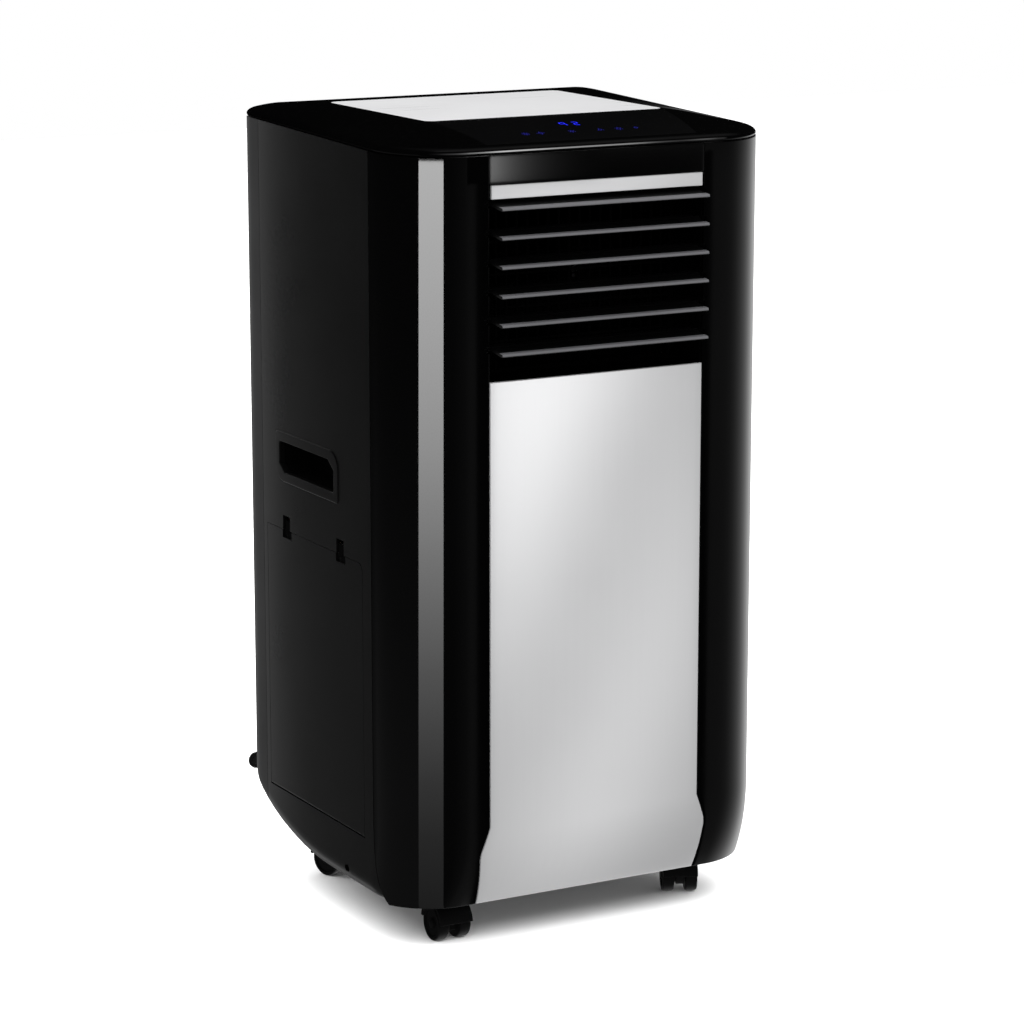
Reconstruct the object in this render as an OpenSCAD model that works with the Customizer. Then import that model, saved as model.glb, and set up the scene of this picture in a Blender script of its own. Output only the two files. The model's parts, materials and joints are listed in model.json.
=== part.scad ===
// Portable air conditioner: a free-standing cabinet on four twin-wheel casters.
// +Z is up, the front faces -Y and the origin is on the floor under the cabinet's centre.

/* [Cabinet] */
// Width of the cabinet
body_w = 360; // [350:1:370]
// Depth of the cabinet without louvres and hose collar
body_d = 325; // [320:1:330]
// Height of the cabinet's underside above the floor
underside = 37; // [37:1:37]
// Radius of the two front corners
front_r = 59.5; // [55:0.5:62]
// Radius of the two rear corners
rear_r = 33; // [30:1:36]
// Wall thickness of the outer shells
wall = 3; // [2.5:0.5:3]
// Height of the lid's seam at the front
seam_z_front = 674.5; // [672:0.5:676]
// Height of the lid's seam at the rear
seam_z_rear = 684.5; // [683:0.5:686]
// Height of the top plate
top_z = 695; // [694:0.5:698]

/* [Front] */
// Half width of the centre column with louvres and front panel
column_x = 102; // [100:1:103]
// Height of the front panel's top edge
panel_top = 488.8; // [486:0.4:490]
// Height of the louvre opening's top edge
opening_top = 638.5; // [638:0.5:640]
// Height of the trim strip
strip_h = 11.4; // [10:0.2:12]

/* [Louvres] */
// Number of louvre blades
blade_n = 6; // [6:1:6]
// Distance between two blades
blade_pitch = 23.9; // [23.5:0.1:24]
// Height of the lowest blade's pivot
blade_z0 = 514.9; // [514:0.1:516]
// Tilt of the blades at rest, front edge down
blade_tilt = 7; // [5:1:9]
// Blade length ahead of its pivot
blade_front = 24; // [22:1:25]
// Blade length behind its pivot
blade_rear = 8; // [6:1:9]

/* [Casters] */
// Distance of the front casters from the cabinet's centre plane
caster_x = 119; // [115:1:125]
// Distance of the caster swivels behind the cabinet's front face
caster_front = 55; // [50:1:60]
// Distance of the rear caster swivels behind the cabinet's front face
caster_rear = 248; // [240:1:252]
// Radius of a caster wheel
wheel_r = 15; // [14:0.5:15]

/* [Rear] */
// Inner radius of the exhaust collar
collar_r = 75; // [74:0.5:76]
// Height of the exhaust collar's axis
collar_z = 245; // [243:1:247]
// How far the collar and the cord hooks stand out of the rear
rear_out = 16; // [16:1:16]

/* [Hidden] */

// A clearance between neighbouring pieces of the cabinet
gap = 0.4;
// Front and rear planes of the cabinet, and a height above every part
front_y = -body_d / 2;
rear_y = body_d / 2;
over = 800;

// Side profile: the lower front tucks in along an arc, the lower rear sweeps up along an ellipse
tuck_r = 150;
tuck_z = 105;
sweep_y = 170;
sweep_z = 80;
curve_steps = 16;

function tuck_curve(inset, z_end) = let (t_end = asin((tuck_z - z_end) / (tuck_r - inset)))
    [for (i = [0:curve_steps]) let (t = t_end * i / curve_steps)
        [front_y + tuck_r - (tuck_r - inset) * cos(t), tuck_z - (tuck_r - inset) * sin(t)]];
function sweep_curve() =
    [for (i = [0:curve_steps]) let (t = 90 * i / curve_steps)
        [rear_y - sweep_y + sweep_y * sin(t), underside + sweep_z - sweep_z * cos(t)]];
function lid_z(y) = seam_z_front + (seam_z_rear - seam_z_front) * (y - front_y) / body_d;

// Outline of the cabinet from above
module plan(inset = 0) {
    fr = front_r - inset;
    rr = rear_r - inset;
    hw = body_w / 2 - inset;
    hd = body_d / 2 - inset;
    for (s = [-1, 1]) {
        translate([s * (hw - fr), -(hd - fr)]) circle(fr, $fn = 96);
        translate([s * (hw - rr), hd - rr]) circle(rr, $fn = 64);
    }
    translate([-(hw - fr), -hd]) square([2 * (hw - fr), hd]);
    translate([-hw, -(hd - fr)]) square([2 * hw, 2 * hd - fr - rr]);
    translate([-(hw - rr), 0]) square([2 * (hw - rr), hd]);
}

// Solid swept along X from a profile of [y, z] points
module along_x(x0, x1) {
    translate([x0, 0, 0]) rotate([90, 0, 90]) linear_extrude(x1 - x0) children();
}

module box(low, high) {
    translate(low) cube(high - low);
}

// The cabinet as one solid, up to the lid's seam
module cabinet(shift_y = 0, lift = 0) {
    translate([0, shift_y, 0]) intersection() {
        translate([0, 0, underside - 1]) linear_extrude(over) plan();
        along_x(-body_w, body_w) polygon(concat(
            tuck_curve(0, underside), sweep_curve(),
            [[rear_y, lid_z(rear_y) + lift], [front_y, lid_z(front_y) + lift]]));
    }
}

// The space inside the outer shells, open below and above
module cabinet_void(inset = wall) {
    intersection() {
        linear_extrude(over) plan(inset);
        along_x(-body_w, body_w) polygon(concat(
            tuck_curve(inset, underside), [[front_y + 40, 0], [rear_y, 0], [rear_y, over]],
            [[front_y + inset, over]]));
    }
}

module shell_ring() {
    difference() {
        cabinet();
        cabinet_void();
    }
}

// A skin of the given thickness over the cabinet's front
module front_skin(t) {
    difference() {
        cabinet();
        cabinet(shift_y = t, lift = 20);
    }
}

// Seam between front shell and side panels: straight, then swept forward near the floor
seam_front = front_y + 64;
seam_rear = rear_y - 49;
seam_tuck = 25;
seam_tuck_z = 115;
function seam_curve() = [for (i = [0:curve_steps]) let (t = 90 * i / curve_steps)
    [seam_front - seam_tuck * (1 - cos(t)), seam_tuck_z - (seam_tuck_z - 30) * sin(t)]];

module front_zone(shift = 0) {
    along_x(-body_w, body_w) polygon(concat(
        [for (p = seam_curve()) [p[0] + shift, p[1]]],
        [[front_y - 30, 30], [front_y - 30, over], [seam_front + shift, over]]));
}

// ---------------------------------------------------------------- outer shells
// Outline of the silver front panel, flared near its foot
panel_flare = 8.5;
panel_foot = 4;
module panel_outline(grow = 0) {
    hw = column_x + grow;
    polygon(concat([
        [-hw, panel_top - 0.6 + grow], [-hw, 108], [-hw - panel_flare + 0.6, 86], [-hw - panel_flare, 80],
        [-hw - panel_foot, 20]],
        [[hw + panel_foot, 20], [hw + panel_flare, 80], [hw + panel_flare - 0.6, 86], [hw, 108],
        [hw, panel_top - 0.6 + grow]]));
}

panel_t = 3;
backing_t = 6;
notch = [3.2, 5];

module along_y(y0, y1) {
    translate([0, y1, 0]) rotate([90, 0, 0]) linear_extrude(y1 - y0) children();
}

module blade_z_each() {
    for (i = [0:blade_n - 1]) translate([0, 0, blade_z0 + i * blade_pitch]) children();
}

module front_shell() color([0.03, 0.03, 0.035]) {
    difference() {
        intersection() {
            union() {
                shell_ring();
                intersection() {
                    front_skin(backing_t);
                    box([-column_x - 14, front_y - 1, 0], [column_x + 14, front_y + 40, over]);
                }
            }
            front_zone();
        }
        intersection() {
            front_skin(panel_t);
            along_y(front_y - 1, front_y + 40) panel_outline(gap);
        }
        box([-column_x, front_y - 1, panel_top - 0.2], [column_x, front_y + 20, opening_top]);
        box([-column_x - 15, front_y + wall, panel_top - 12], [column_x + 15, front_y + 20, opening_top + 3]);
        box([-column_x, front_y - 1, opening_top - 1],
            [column_x, front_y + 2.2, over]);
        for (s = [-1, 1]) blade_z_each()
            box([s * (column_x + 1) - notch[0] / 2, front_y - 1, -notch[1] / 2],
                [s * (column_x + 1) + notch[0] / 2, front_y + 2, notch[1] / 2]);
    }
}

module side_panel(s) {
    door = s < 0;
    difference() {
        union() {
            intersection() {
                shell_ring();
                difference() {
                    box([min(0, s * body_w), front_y, 0], [max(0, s * body_w), seam_rear - gap / 2, over]);
                    front_zone(gap);
                }
            }
            if (door) for (y = [door_y0 - 7, door_y1 + gap])
                box([-body_w / 2 + 0.6, y, door_z0 - 6], [-body_w / 2 + 6, y + 6.6, door_z0 + 8]);
        }
        // Pocket for the handle cup
        translate([s * body_w / 2, handle_y, handle_z]) rotate([0, 90, 0])
            translate([0, 0, -20]) linear_extrude(40) handle_outline(gap / 2);
        if (door) {
            box([-body_w, door_y0 - gap, door_z0 - door_hinge_r - gap], [-body_w / 2 + 8, door_y1 + gap, door_z1 + gap]);
            for (y = latch_y) box([-body_w, y - 6, door_z1 - 1], [-body_w / 2 + 8, y + 6, door_z1 + 12.5]);
            translate([-body_w / 2 + door_hinge_r, 0, door_z0]) rotate([90, 0, 0])
                cylinder(r = door_pin_r + 0.07, h = body_d, center = true, $fn = 32);
        } else {
            // Intake slots for the machine space
            for (i = [0:11]) box([body_w / 2 - 8, -60, 100 + i * 14], [body_w, 90, 106 + i * 14]);
        }
        // Slot of the foot screw
        box([min(0, s * body_w), front_y + 112, 43], [max(0, s * body_w), front_y + 120, 49]);
    }
}

module side_panel_left() color([0.04, 0.04, 0.045]) side_panel(-1);
module side_panel_right() color([0.04, 0.04, 0.045]) side_panel(1);

// Rear intake grille's window
grille_x = 130;
grille_z0 = 374.6;
grille_z1 = 640;
grille_hinge_r = 2;
grille_pin_r = 1.2;
grille_hinge_y = rear_y - grille_hinge_r;

module rear_cover() color([0.06, 0.06, 0.065]) {
    difference() {
        union() {
            intersection() {
                shell_ring();
                box([-body_w, seam_rear + gap / 2, 0], [body_w, rear_y + 1, over]);
            }
            for (s = [-1, 1])
                box([s * (grille_x + 3.6) - 3.2, rear_y - 6, grille_z0 - 6],
                    [s * (grille_x + 3.6) + 3.2, rear_y - 0.6, grille_z0 + 8]);
            // Boss of the upper drain port
            translate([-drain_x, 150.2, upper_drain_z]) rotate([-90, 0, 0]) cylinder(r = 11, h = 10, $fn = 48);
        }
        box([-grille_x - gap, rear_y - 9, grille_z0 - grille_hinge_r - gap],
            [grille_x + gap, rear_y + 5, grille_z1 + gap]);
        translate([0, grille_hinge_y, grille_z0]) rotate([0, 90, 0])
            cylinder(r = grille_pin_r + 0.07, h = 2 * grille_x + 10, center = true, $fn = 32);
        translate([0, rear_y, collar_z]) rotate([90, 0, 0])
            cylinder(r = collar_r + 4 + gap, h = 20, center = true, $fn = 128);
        translate([-drain_x, rear_y, upper_drain_z]) rotate([90, 0, 0])
            cylinder(r = plug_r + 0.1, h = 60, center = true, $fn = 48);
        // Vents of the machine space on either side of the collar
        for (s = [-1, 1]) for (i = [0:9])
            box([s * 118 - 22, rear_y - 8, 190 + i * 13], [s * 118 + 22, rear_y + 5, 195 + i * 13]);
        for (p = screw_spots) translate([p[0], rear_y, p[1]]) rotate([90, 0, 0])
            cylinder(r = 2.2, h = 20, center = true, $fn = 32);
        translate([gland_x, rear_y, gland_z]) rotate([90, 0, 0]) cylinder(r = 9.2, h = 20, center = true, $fn = 48);
    }
}

drain_x = 130;
upper_drain_z = 352;
lower_drain_z = 72;
plug_r = 7;
hook_x = 162;
hook_z = 89.5;
hook_post_r = 3.5;
gland_x = 150;
gland_z = 150;
screw_spots = concat(
    [for (s = [-1, 1]) for (z = [365, 520, 655]) [s * 158, z]],
    [for (s = [-1, 1]) [s * 60, 655]]);

// Base: a deep tray that closes the cabinet below and catches water
tray_in = wall + gap;
module base_tray() color([0.05, 0.05, 0.05]) {
    difference() {
        union() {
            intersection() {
                tray_block(tray_in, 0);
                tray_height();
            }
            drain_boss();
            for (p = compressor_feet) translate([p[0], p[1], underside + 3]) cylinder(r = 9, h = 11, $fn = 32);
            for (p = caster_spots) translate([p[0], p[1], underside + 3]) cylinder(r = 12, h = 15, $fn = 48);
        }
        difference() {
            intersection() {
                tray_block(tray_in + 3, 4);
                tray_height(10);
            }
            for (p = compressor_feet) translate([p[0], p[1], underside]) cylinder(r = 9, h = 14, $fn = 32);
            for (p = caster_spots) translate([p[0], p[1], underside]) cylinder(r = 12, h = 18, $fn = 48);
            drain_boss();
        }
        translate([0, rear_y, lower_drain_z]) rotate([90, 0, 0]) cylinder(r = plug_r + 0.1, h = 60, $fn = 48);
        for (p = caster_spots) translate([p[0], p[1], underside - 5])
            cylinder(r = stem_r + 0.08, h = 19, $fn = 48);
        for (p = compressor_feet) translate([p[0], p[1], underside + 6]) cylinder(r = 3, h = 10, $fn = 32);
        for (s = [-1, 1]) translate([s * hook_x, rear_y - 26, hook_z]) rotate([-90, 0, 0])
            cylinder(r = hook_post_r + 0.05, h = 40, $fn = 48);
    }
}

module drain_boss() {
    translate([0, 147, lower_drain_z]) rotate([90, 0, 0]) cylinder(r = 12, h = 20, $fn = 48);
}

module tray_block(inset, floor_t) {
    intersection() {
        linear_extrude(200) plan(inset);
        along_x(-body_w, body_w) polygon(concat(
            [for (p = tuck_curve(inset + backing_t - wall, underside)) [p[0], max(p[1], underside + floor_t)]],
            [for (p = sweep_curve()) [p[0] - floor_t * 0.6, p[1] + floor_t]],
            [[rear_y, 200], [front_y + inset + backing_t - wall, 200]]));
    }
}

// The tray's rim is low at the front and the sides and rises towards the rear
module tray_height(extra = 0) {
    along_x(-body_w, body_w) polygon([
        [front_y, 0], [rear_y, 0], [rear_y, 116 + extra], [rear_y - 22, 116 + extra],
        [rear_y - 45, 72 + extra], [front_y, 72 + extra]]);
}

// ---------------------------------------------------------------- lid
plate_x = 114;
plate_y0 = front_y + 85.5;
plate_y1 = front_y + 273;
lid_tilt = atan((seam_z_rear - seam_z_front) / body_d);

// A disc of the lid's outline, tilted as the seam is
module lid_slice(inset, z, t = 0.2) {
    translate([0, 0, (seam_z_front + seam_z_rear) / 2 + z]) rotate([lid_tilt, 0, 0]) linear_extrude(t) plan(inset);
}

module lid_dome(inset = 0, drop = 0) {
    hull() {
        lid_slice(inset + 0.8, 0.8 - drop);
        lid_slice(inset, 2.2 - drop);
        lid_slice(inset + 7, 7 - drop);
        lid_slice(inset + 24, 10.4 - drop);
        translate([-plate_x - 1, plate_y0 - 1, top_z - 0.2 - drop])
            cube([2 * plate_x + 2, plate_y1 - plate_y0 + 2, 0.2]);
    }
}

module plate_outline(inset = 0) {
    r = 8 - inset;
    x = plate_x - inset;
    for (sx = [-1, 1]) for (y = [plate_y0 + 8, plate_y1 - 8]) translate([sx * (x - r), y]) circle(r, $fn = 32);
    translate([-x + r, plate_y0 + inset]) square([2 * (x - r), plate_y1 - plate_y0 - 2 * inset]);
    translate([-x, plate_y0 + 8]) square([2 * x, plate_y1 - plate_y0 - 16]);
}

// The control glass lies in the lid's front slope
glass_y0 = front_y + 9;
glass_y1 = plate_y0 - 4;
module glass_outline(inset = 0) {
    polygon([[-100 + inset, glass_y0 + inset], [100 - inset, glass_y0 + inset],
        [112 - inset, glass_y1 - inset], [-112 + inset, glass_y1 - inset]]);
}

module top_cover() color([0.035, 0.035, 0.04]) {
    difference() {
        lid_dome();
        difference() {
            lid_dome(inset = wall, drop = 4);
            // Bosses for the display board
            for (s = [-1, 1]) translate([s * 96, front_y + 60, 640]) cylinder(r = 5, h = 60, $fn = 32);
        }
        translate([0, 0, top_z - 2]) linear_extrude(20) plate_outline(-0.2);
        intersection() {
            linear_extrude(over) glass_outline(-0.2);
            difference() {
                lid_dome();
                lid_dome(drop = 1.6);
            }
        }
        lid_slice(-5, -20, 20.6);
    }
}

module top_plate() color([0.85, 0.85, 0.86]) {
    translate([0, 0, top_z - 1.95]) linear_extrude(1.95) plate_outline();
}

module control_glass() color([0.02, 0.02, 0.03]) {
    intersection() {
        linear_extrude(over) glass_outline();
        difference() {
            lid_dome();
            lid_dome(drop = 1.5);
        }
    }
}

board_z = 662;
module display_board() color([0.05, 0.3, 0.12]) {
    translate([0, 0, board_z]) {
        box([-104, front_y + 12, 0], [104, front_y + 68, 1.6]);
        // Two seven-segment digits, a touch spring under each key and the connector
        for (x = [-8, 8]) box([x - 6, front_y + 26, 1.6], [x + 6, front_y + 44, 9.6]);
        for (i = [0:6]) translate([-72 + 24 * i, front_y + 18, 1.6]) cylinder(r = 4, h = 7, $fn = 24);
        box([60, front_y + 50, 1.6], [84, front_y + 60, 8]);
    }
}

// ---------------------------------------------------------------- centre column
module front_panel() color([0.78, 0.78, 0.8]) {
    intersection() {
        front_skin(panel_t - 0.05);
        along_y(front_y - 1, front_y + 40) panel_outline();
    }
}

module trim_strip() color([0.78, 0.78, 0.8]) {
    box([-column_x + 1.5, front_y - 0.5, opening_top], [column_x - 1.5, front_y + 2.2, opening_top + strip_h]);
}

module front_band() color([0.03, 0.03, 0.035]) {
    difference() {
        box([-column_x + 0.3, front_y - 0.5, opening_top + strip_h + 0.4], [column_x - 0.3, front_y + 2.2, seam_z_front]);
        translate([0, 0, seam_z_front - 0.3]) rotate([lid_tilt, 0, 0]) box([-200, -200, 0], [200, 200, 50]);
    }
}

housing_y0 = front_y + backing_t + 0.2;
housing_y1 = front_y + 55;
housing_z0 = 486;
housing_z1 = 649;
pivot_y = front_y + 8;
pin_r = 2;
crank_r = 12;
crank_a = -35;
crank_x = column_x + 4;
link_x = crank_x + 2.8;
crank_pin_r = 1.5;

module louvre_housing() color([0.04, 0.04, 0.04]) {
    difference() {
        union() {
            box([-column_x - 3, housing_y0, housing_z0 - 3], [column_x + 3, housing_y1, housing_z1 + 3]);
            box([-column_x - 3, front_y + wall + 0.1, panel_top], [column_x + 3, housing_y0 + 1, opening_top]);
            // Flange at the rear for the blower's outlet
            box([-column_x - 8, housing_y1 - 3, housing_z0 - 8], [column_x + 8, housing_y1, housing_z1 + 8]);
        }
        box([-column_x, front_y, housing_z0], [column_x, housing_y1 + 1, housing_z1]);
        blade_z_each() translate([0, pivot_y, 0]) rotate([0, 90, 0])
            cylinder(r = pin_r + 0.08, h = 3 * body_w, center = true, $fn = 32);
    }
}

// One louvre blade with its pivot pins and crank
blade_x = column_x - 3.5;
blade_t = 2.4;
module louvre_blade(i) color([0.06, 0.06, 0.065]) {
    translate([0, pivot_y, blade_z0 + (i - 1) * blade_pitch]) {
        rotate([blade_tilt, 0, 0]) {
            along_x(-blade_x, blade_x) {
                translate([-blade_front + 1.5, -blade_t / 2]) square([blade_front + blade_rear - 2.9, blade_t]);
                translate([-blade_front + 1.5, 0]) circle(1.5, $fn = 24);
                translate([blade_rear - 1.4, 0]) circle(1.4, $fn = 24);
            }
        }
        rotate([0, 90, 0]) {
            translate([0, 0, -column_x - 2.8]) cylinder(r = pin_r, h = column_x + 2.8 + crank_x + 1, $fn = 32);
            translate([0, 0, crank_x]) cylinder(r = 4, h = 2.5, $fn = 32);
            if (i == driven_blade)
                translate([0, 0, crank_x + 1]) cylinder(r = hub_r, h = motor_x + 8 - crank_x - 1, $fn = 32);
        }
        rotate([crank_a, 0, 0]) {
            box([crank_x + 0.3, 0, -2.2], [crank_x + 2.2, crank_r, 2.2]);
            translate([crank_x, crank_r, 0]) rotate([0, 90, 0]) {
                cylinder(r = 2.6, h = 2.5, $fn = 32);
                translate([0, 0, 1]) cylinder(r = crank_pin_r, h = link_x + 2.5 - crank_x, $fn = 32);
            }
        }
    }
}

link_t = 2.5;
link_w = 6.4;
module louvre_link() color([0.8, 0.8, 0.78]) {
    dy = crank_r * cos(crank_a);
    dz = crank_r * sin(crank_a);
    translate([link_x, pivot_y + dy, blade_z0 + dz]) difference() {
        box([0, -link_w / 2, -5], [link_t, link_w / 2, 5 * blade_pitch + 5]);
        for (i = [0:blade_n - 1]) translate([0, 0, i * blade_pitch]) rotate([0, 90, 0])
            cylinder(r = crank_pin_r + 0.08, h = 10, center = true, $fn = 32);
    }
}

driven_blade = 4;
hub_r = 2.4;
motor_x = 118;
can_offset = 14;
module swing_motor() color([0.75, 0.75, 0.75]) {
    translate([motor_x, pivot_y, blade_z0 + (driven_blade - 1) * blade_pitch]) rotate([0, 90, 0]) difference() {
        union() {
            // The geared can sits behind its output shaft
            translate([0, can_offset, 2]) cylinder(r = 14, h = 16, $fn = 64);
            cylinder(r = 4.5, h = 8, $fn = 32);
            translate([-19, can_offset - 3.6, 2]) cube([38, 7.2, 1.6]);
        }
        translate([0, 0, -1]) cylinder(r = hub_r + 0.08, h = 10, $fn = 32);
        for (s = [-1, 1]) translate([s * 17, can_offset, 0]) cylinder(r = 1.2, h = 10, $fn = 24);
    }
}

// Finger guard behind the blades
module outlet_guard() color([0.05, 0.05, 0.05]) {
    y = housing_y1 - 7;
    difference() {
        box([-column_x + 0.2, y, housing_z0 + 0.2], [column_x - 0.2, y + 3, housing_z1 - 0.2]);
        box([-column_x + 4, y - 1, housing_z0 + 4], [column_x - 4, y + 4, housing_z1 - 4]);
    }
    for (i = [-9:9]) box([i * 10 - 0.9, y, housing_z0 + 3], [i * 10 + 0.9, y + 3, housing_z1 - 3]);
    for (i = [0:4]) box([-column_x + 3, y + 0.4, 512 + i * 28], [column_x - 3, y + 2.6, 514 + i * 28]);
}

// ---------------------------------------------------------------- side door and rear grille
door_y0 = front_y + 81;
door_y1 = front_y + 268;
door_z0 = 91;
door_z1 = 328;
door_hinge_r = 2;
door_pin_r = 1.2;
latch_y = [front_y + 123, front_y + 229];

module filter_door() color([0.04, 0.04, 0.045]) {
    difference() {
        union() {
            box([-body_w / 2, door_y0, door_z0], [-body_w / 2 + 4, door_y1, door_z1 - 8]);
            box([-body_w / 2, door_y0 + 8, door_z1 - 9], [-body_w / 2 + 4, door_y1, door_z1]);
            translate([-body_w / 2, door_y0 + 8, door_z1 - 8]) rotate([0, 90, 0]) cylinder(r = 8, h = 4, $fn = 48);
            translate([-body_w / 2 + door_hinge_r, 0, door_z0]) rotate([-90, 0, 0]) {
                translate([0, 0, door_y0]) cylinder(r = door_hinge_r, h = door_y1 - door_y0, $fn = 32);
                translate([0, 0, door_y0 - 4]) cylinder(r = door_pin_r, h = door_y1 - door_y0 + 8, $fn = 32);
            }
        }
        for (y = latch_y) box([-body_w, y - 10, door_z1 - 7], [-body_w / 2 + 2.2, y + 8, door_z1 + 1]);
    }
    // Clips for the filter
    for (y = [door_y0 + 12, door_y1 - 18]) for (z = [door_z0 + 30, door_z1 - 40])
        box([-body_w / 2 + 4, y, z], [-body_w / 2 + 5.6, y + 6, z + 10]);
}

module door_latches() color([0.02, 0.02, 0.02]) {
    for (y = latch_y) {
        box([-body_w / 2 + 0.5, y - 9.6, door_z1 - 6.6], [-body_w / 2 + 2.2, y - 1, door_z1 - 0.4]);
        box([-body_w / 2 + 1.2, y - 4.5, door_z1 - 3], [-body_w / 2 + 2.2, y + 4.5, door_z1 + 9]);
    }
}

// A filter: frame with ribs and a mesh sheet
module filter_frame(w, h) {
    difference() {
        cube([w, h, 2.6]);
        translate([5, 5, -1]) cube([w - 10, h - 10, 5]);
    }
    for (i = [1:3]) translate([i * w / 4 - 1.2, 3, 0]) cube([2.4, h - 6, 2.2]);
    for (i = [1:4]) translate([3, i * h / 5 - 1.2, 0]) cube([w - 6, 2.4, 2.2]);
    translate([3, 3, 0.9]) cube([w - 6, h - 6, 0.5]);
}

module side_filter() color([0.3, 0.35, 0.4]) {
    translate([-body_w / 2 + 5.7, door_y0 + 8, door_z0 + 12]) rotate([90, 0, 90])
        filter_frame(door_y1 - door_y0 - 16, door_z1 - door_z0 - 24);
}

grille_slots = 17;
module rear_grille() color([0.06, 0.06, 0.065]) {
    difference() {
        box([-grille_x, rear_y - 4, grille_z0], [grille_x, rear_y, grille_z1]);
        for (i = [0:grille_slots - 1]) for (x = [-120, -58, 4, 66])
            box([x, rear_y - 10, grille_z0 + 12 + i * 14.4], [x + 54, rear_y + 2, grille_z0 + 20 + i * 14.4]);
        // Finger notch at the top edge
        box([-22, rear_y - 1.8, grille_z1 - 6], [22, rear_y + 1, grille_z1 + 1]);
    }
    translate([0, grille_hinge_y, grille_z0]) rotate([0, 90, 0]) {
        cylinder(r = grille_hinge_r, h = 2 * grille_x, center = true, $fn = 32);
        cylinder(r = grille_pin_r, h = 2 * grille_x + 8, center = true, $fn = 32);
    }
}

module rear_filter() color([0.3, 0.35, 0.4]) {
    translate([-grille_x + 6, rear_y - 4.1, grille_z0 + 8]) rotate([90, 0, 0])
        filter_frame(2 * grille_x - 12, grille_z1 - grille_z0 - 14);
}

// ---------------------------------------------------------------- handles
handle_w = 124;
handle_h = 44.5;
handle_y = front_y + 187;
handle_z = 393;
handle_corner = 11;
cup_depth = 27;

// Outline with X down and Y along the cabinet's depth
module handle_outline(grow = 0) {
    for (a = [-1, 1]) for (b = [-1, 1])
        translate([a * (handle_h / 2 - handle_corner), b * (handle_w / 2 - handle_corner)])
            circle(handle_corner + grow, $fn = 48);
    square([handle_h + 2 * grow, handle_w - 2 * handle_corner], center = true);
    square([handle_h - 2 * handle_corner, handle_w + 2 * grow], center = true);
}

module cup_outline(grow = 0) {
    x = handle_h / 2 - 7.5 + grow;
    y = handle_w / 2 - 7.5 + grow;
    c = 8;
    polygon([[-x, -y + c], [-x + c, -y], [x, -y], [x, y - c], [x - c, y], [-x, y]]);
}

module handle(s) {
    translate([s * body_w / 2, handle_y, handle_z]) mirror([s > 0 ? 1 : 0, 0, 0]) rotate([0, 90, 0]) difference() {
        union() {
            linear_extrude(wall + 1) handle_outline();
            linear_extrude(cup_depth + 2.5) cup_outline(2.5);
        }
        translate([0, 0, -1]) linear_extrude(cup_depth + 1) cup_outline();
        // Bevel of the bezel's face
        translate([0, 0, -0.01]) linear_extrude(0.8) difference() {
            handle_outline(-1.2);
            cup_outline(1.2);
        }
    }
}

module handle_left() color([0.045, 0.045, 0.05]) handle(-1);
module handle_right() color([0.045, 0.045, 0.05]) handle(1);

// ---------------------------------------------------------------- cooling side
pan_z = 340;
module drain_pan() color([0.85, 0.85, 0.82]) {
    difference() {
        box([-168, -98, pan_z], [168, 150, pan_z + 16]);
        box([-165, -95, pan_z + 3], [165, 147, pan_z + 20]);
        for (s = [-1, 1]) box([s * 158 - 12, 100, pan_z - 1], [s * 158 + 12, 151, pan_z + 20]);
        translate([-drain_x, 150, upper_drain_z]) rotate([90, 0, 0]) cylinder(r = 6, h = 12, center = true, $fn = 32);
        box([100, -99, pan_z - 1], [169, -60, pan_z + 20]);
    }
    // Stops for the evaporator
    for (x = [-120, 0, 110]) box([x, 108, pan_z + 2], [x + 10, 142, pan_z + 20]);
}

coil_fins = 30;
module coil(w, h, t) {
    // Fins, end plates and rows of tubes
    for (i = [0:coil_fins]) translate([i * (w - 1) / coil_fins, 0, 0]) cube([1, t, h]);
    for (x = [-2, w]) translate([x, -1, -1]) cube([2, t + 2, h + 2]);
    rows = floor(h / 25);
    for (i = [0:rows - 1]) for (j = [0.3, 0.7])
        translate([-6, t * j, (i + 0.5) * h / rows]) rotate([0, 90, 0]) cylinder(r = 3.5, h = w + 12, $fn = 24);
    for (i = [0:rows - 2]) for (x = [-6, w + 6])
        translate([x - 1, t * 0.3 - 3, (i + 0.5) * h / rows]) cube([2, 6, h / rows]);
}

module evaporator_coil() color([0.75, 0.75, 0.72]) {
    translate([-138, 112, pan_z + 20]) coil(274, 274, 26);
}

module condenser_coil() color([0.75, 0.75, 0.72]) {
    translate([-139, -88, 84]) rotate([0, 0, 90]) coil(186, 234, 26);
}

// A spiral casing seen along X; the outlet leaves at the top towards -Y
spiral_steps = 30;
function spiral(r0, r1, a0) = [for (i = [0:spiral_steps]) let (t = i / spiral_steps, a = a0 + (450 - a0) * t)
    [(r0 + (r1 - r0) * t) * cos(a), (r0 + (r1 - r0) * t) * sin(a)]];

evap_c = [4, 522];
evap_wheel_r = 68;
evap_out = housing_y1 + 0.1;
module evap_profile(grow) {
    translate(evap_c) polygon(concat(
        spiral(evap_wheel_r + 7 + grow, evap_wheel_r + 38 + grow, 155),
        [[evap_out - evap_c[0], 126 + grow], [evap_out - evap_c[0], housing_z0 - evap_c[1] - grow]]));
}

module evaporator_scroll() color([0.9, 0.9, 0.88]) {
    difference() {
        along_x(-column_x + 2, column_x - 2) evap_profile(2.5);
        along_x(-column_x + 4.5, column_x - 4.5) evap_profile(0);
        box([-column_x + 4.5, evap_out - 5, housing_z0], [column_x - 4.5, evap_out + 4, housing_z1 - 3]);
        translate([0, evap_c[0], evap_c[1]]) rotate([0, 90, 0]) cylinder(r = evap_wheel_r - 14, h = 400, center = true, $fn = 96);
    }
}

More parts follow.
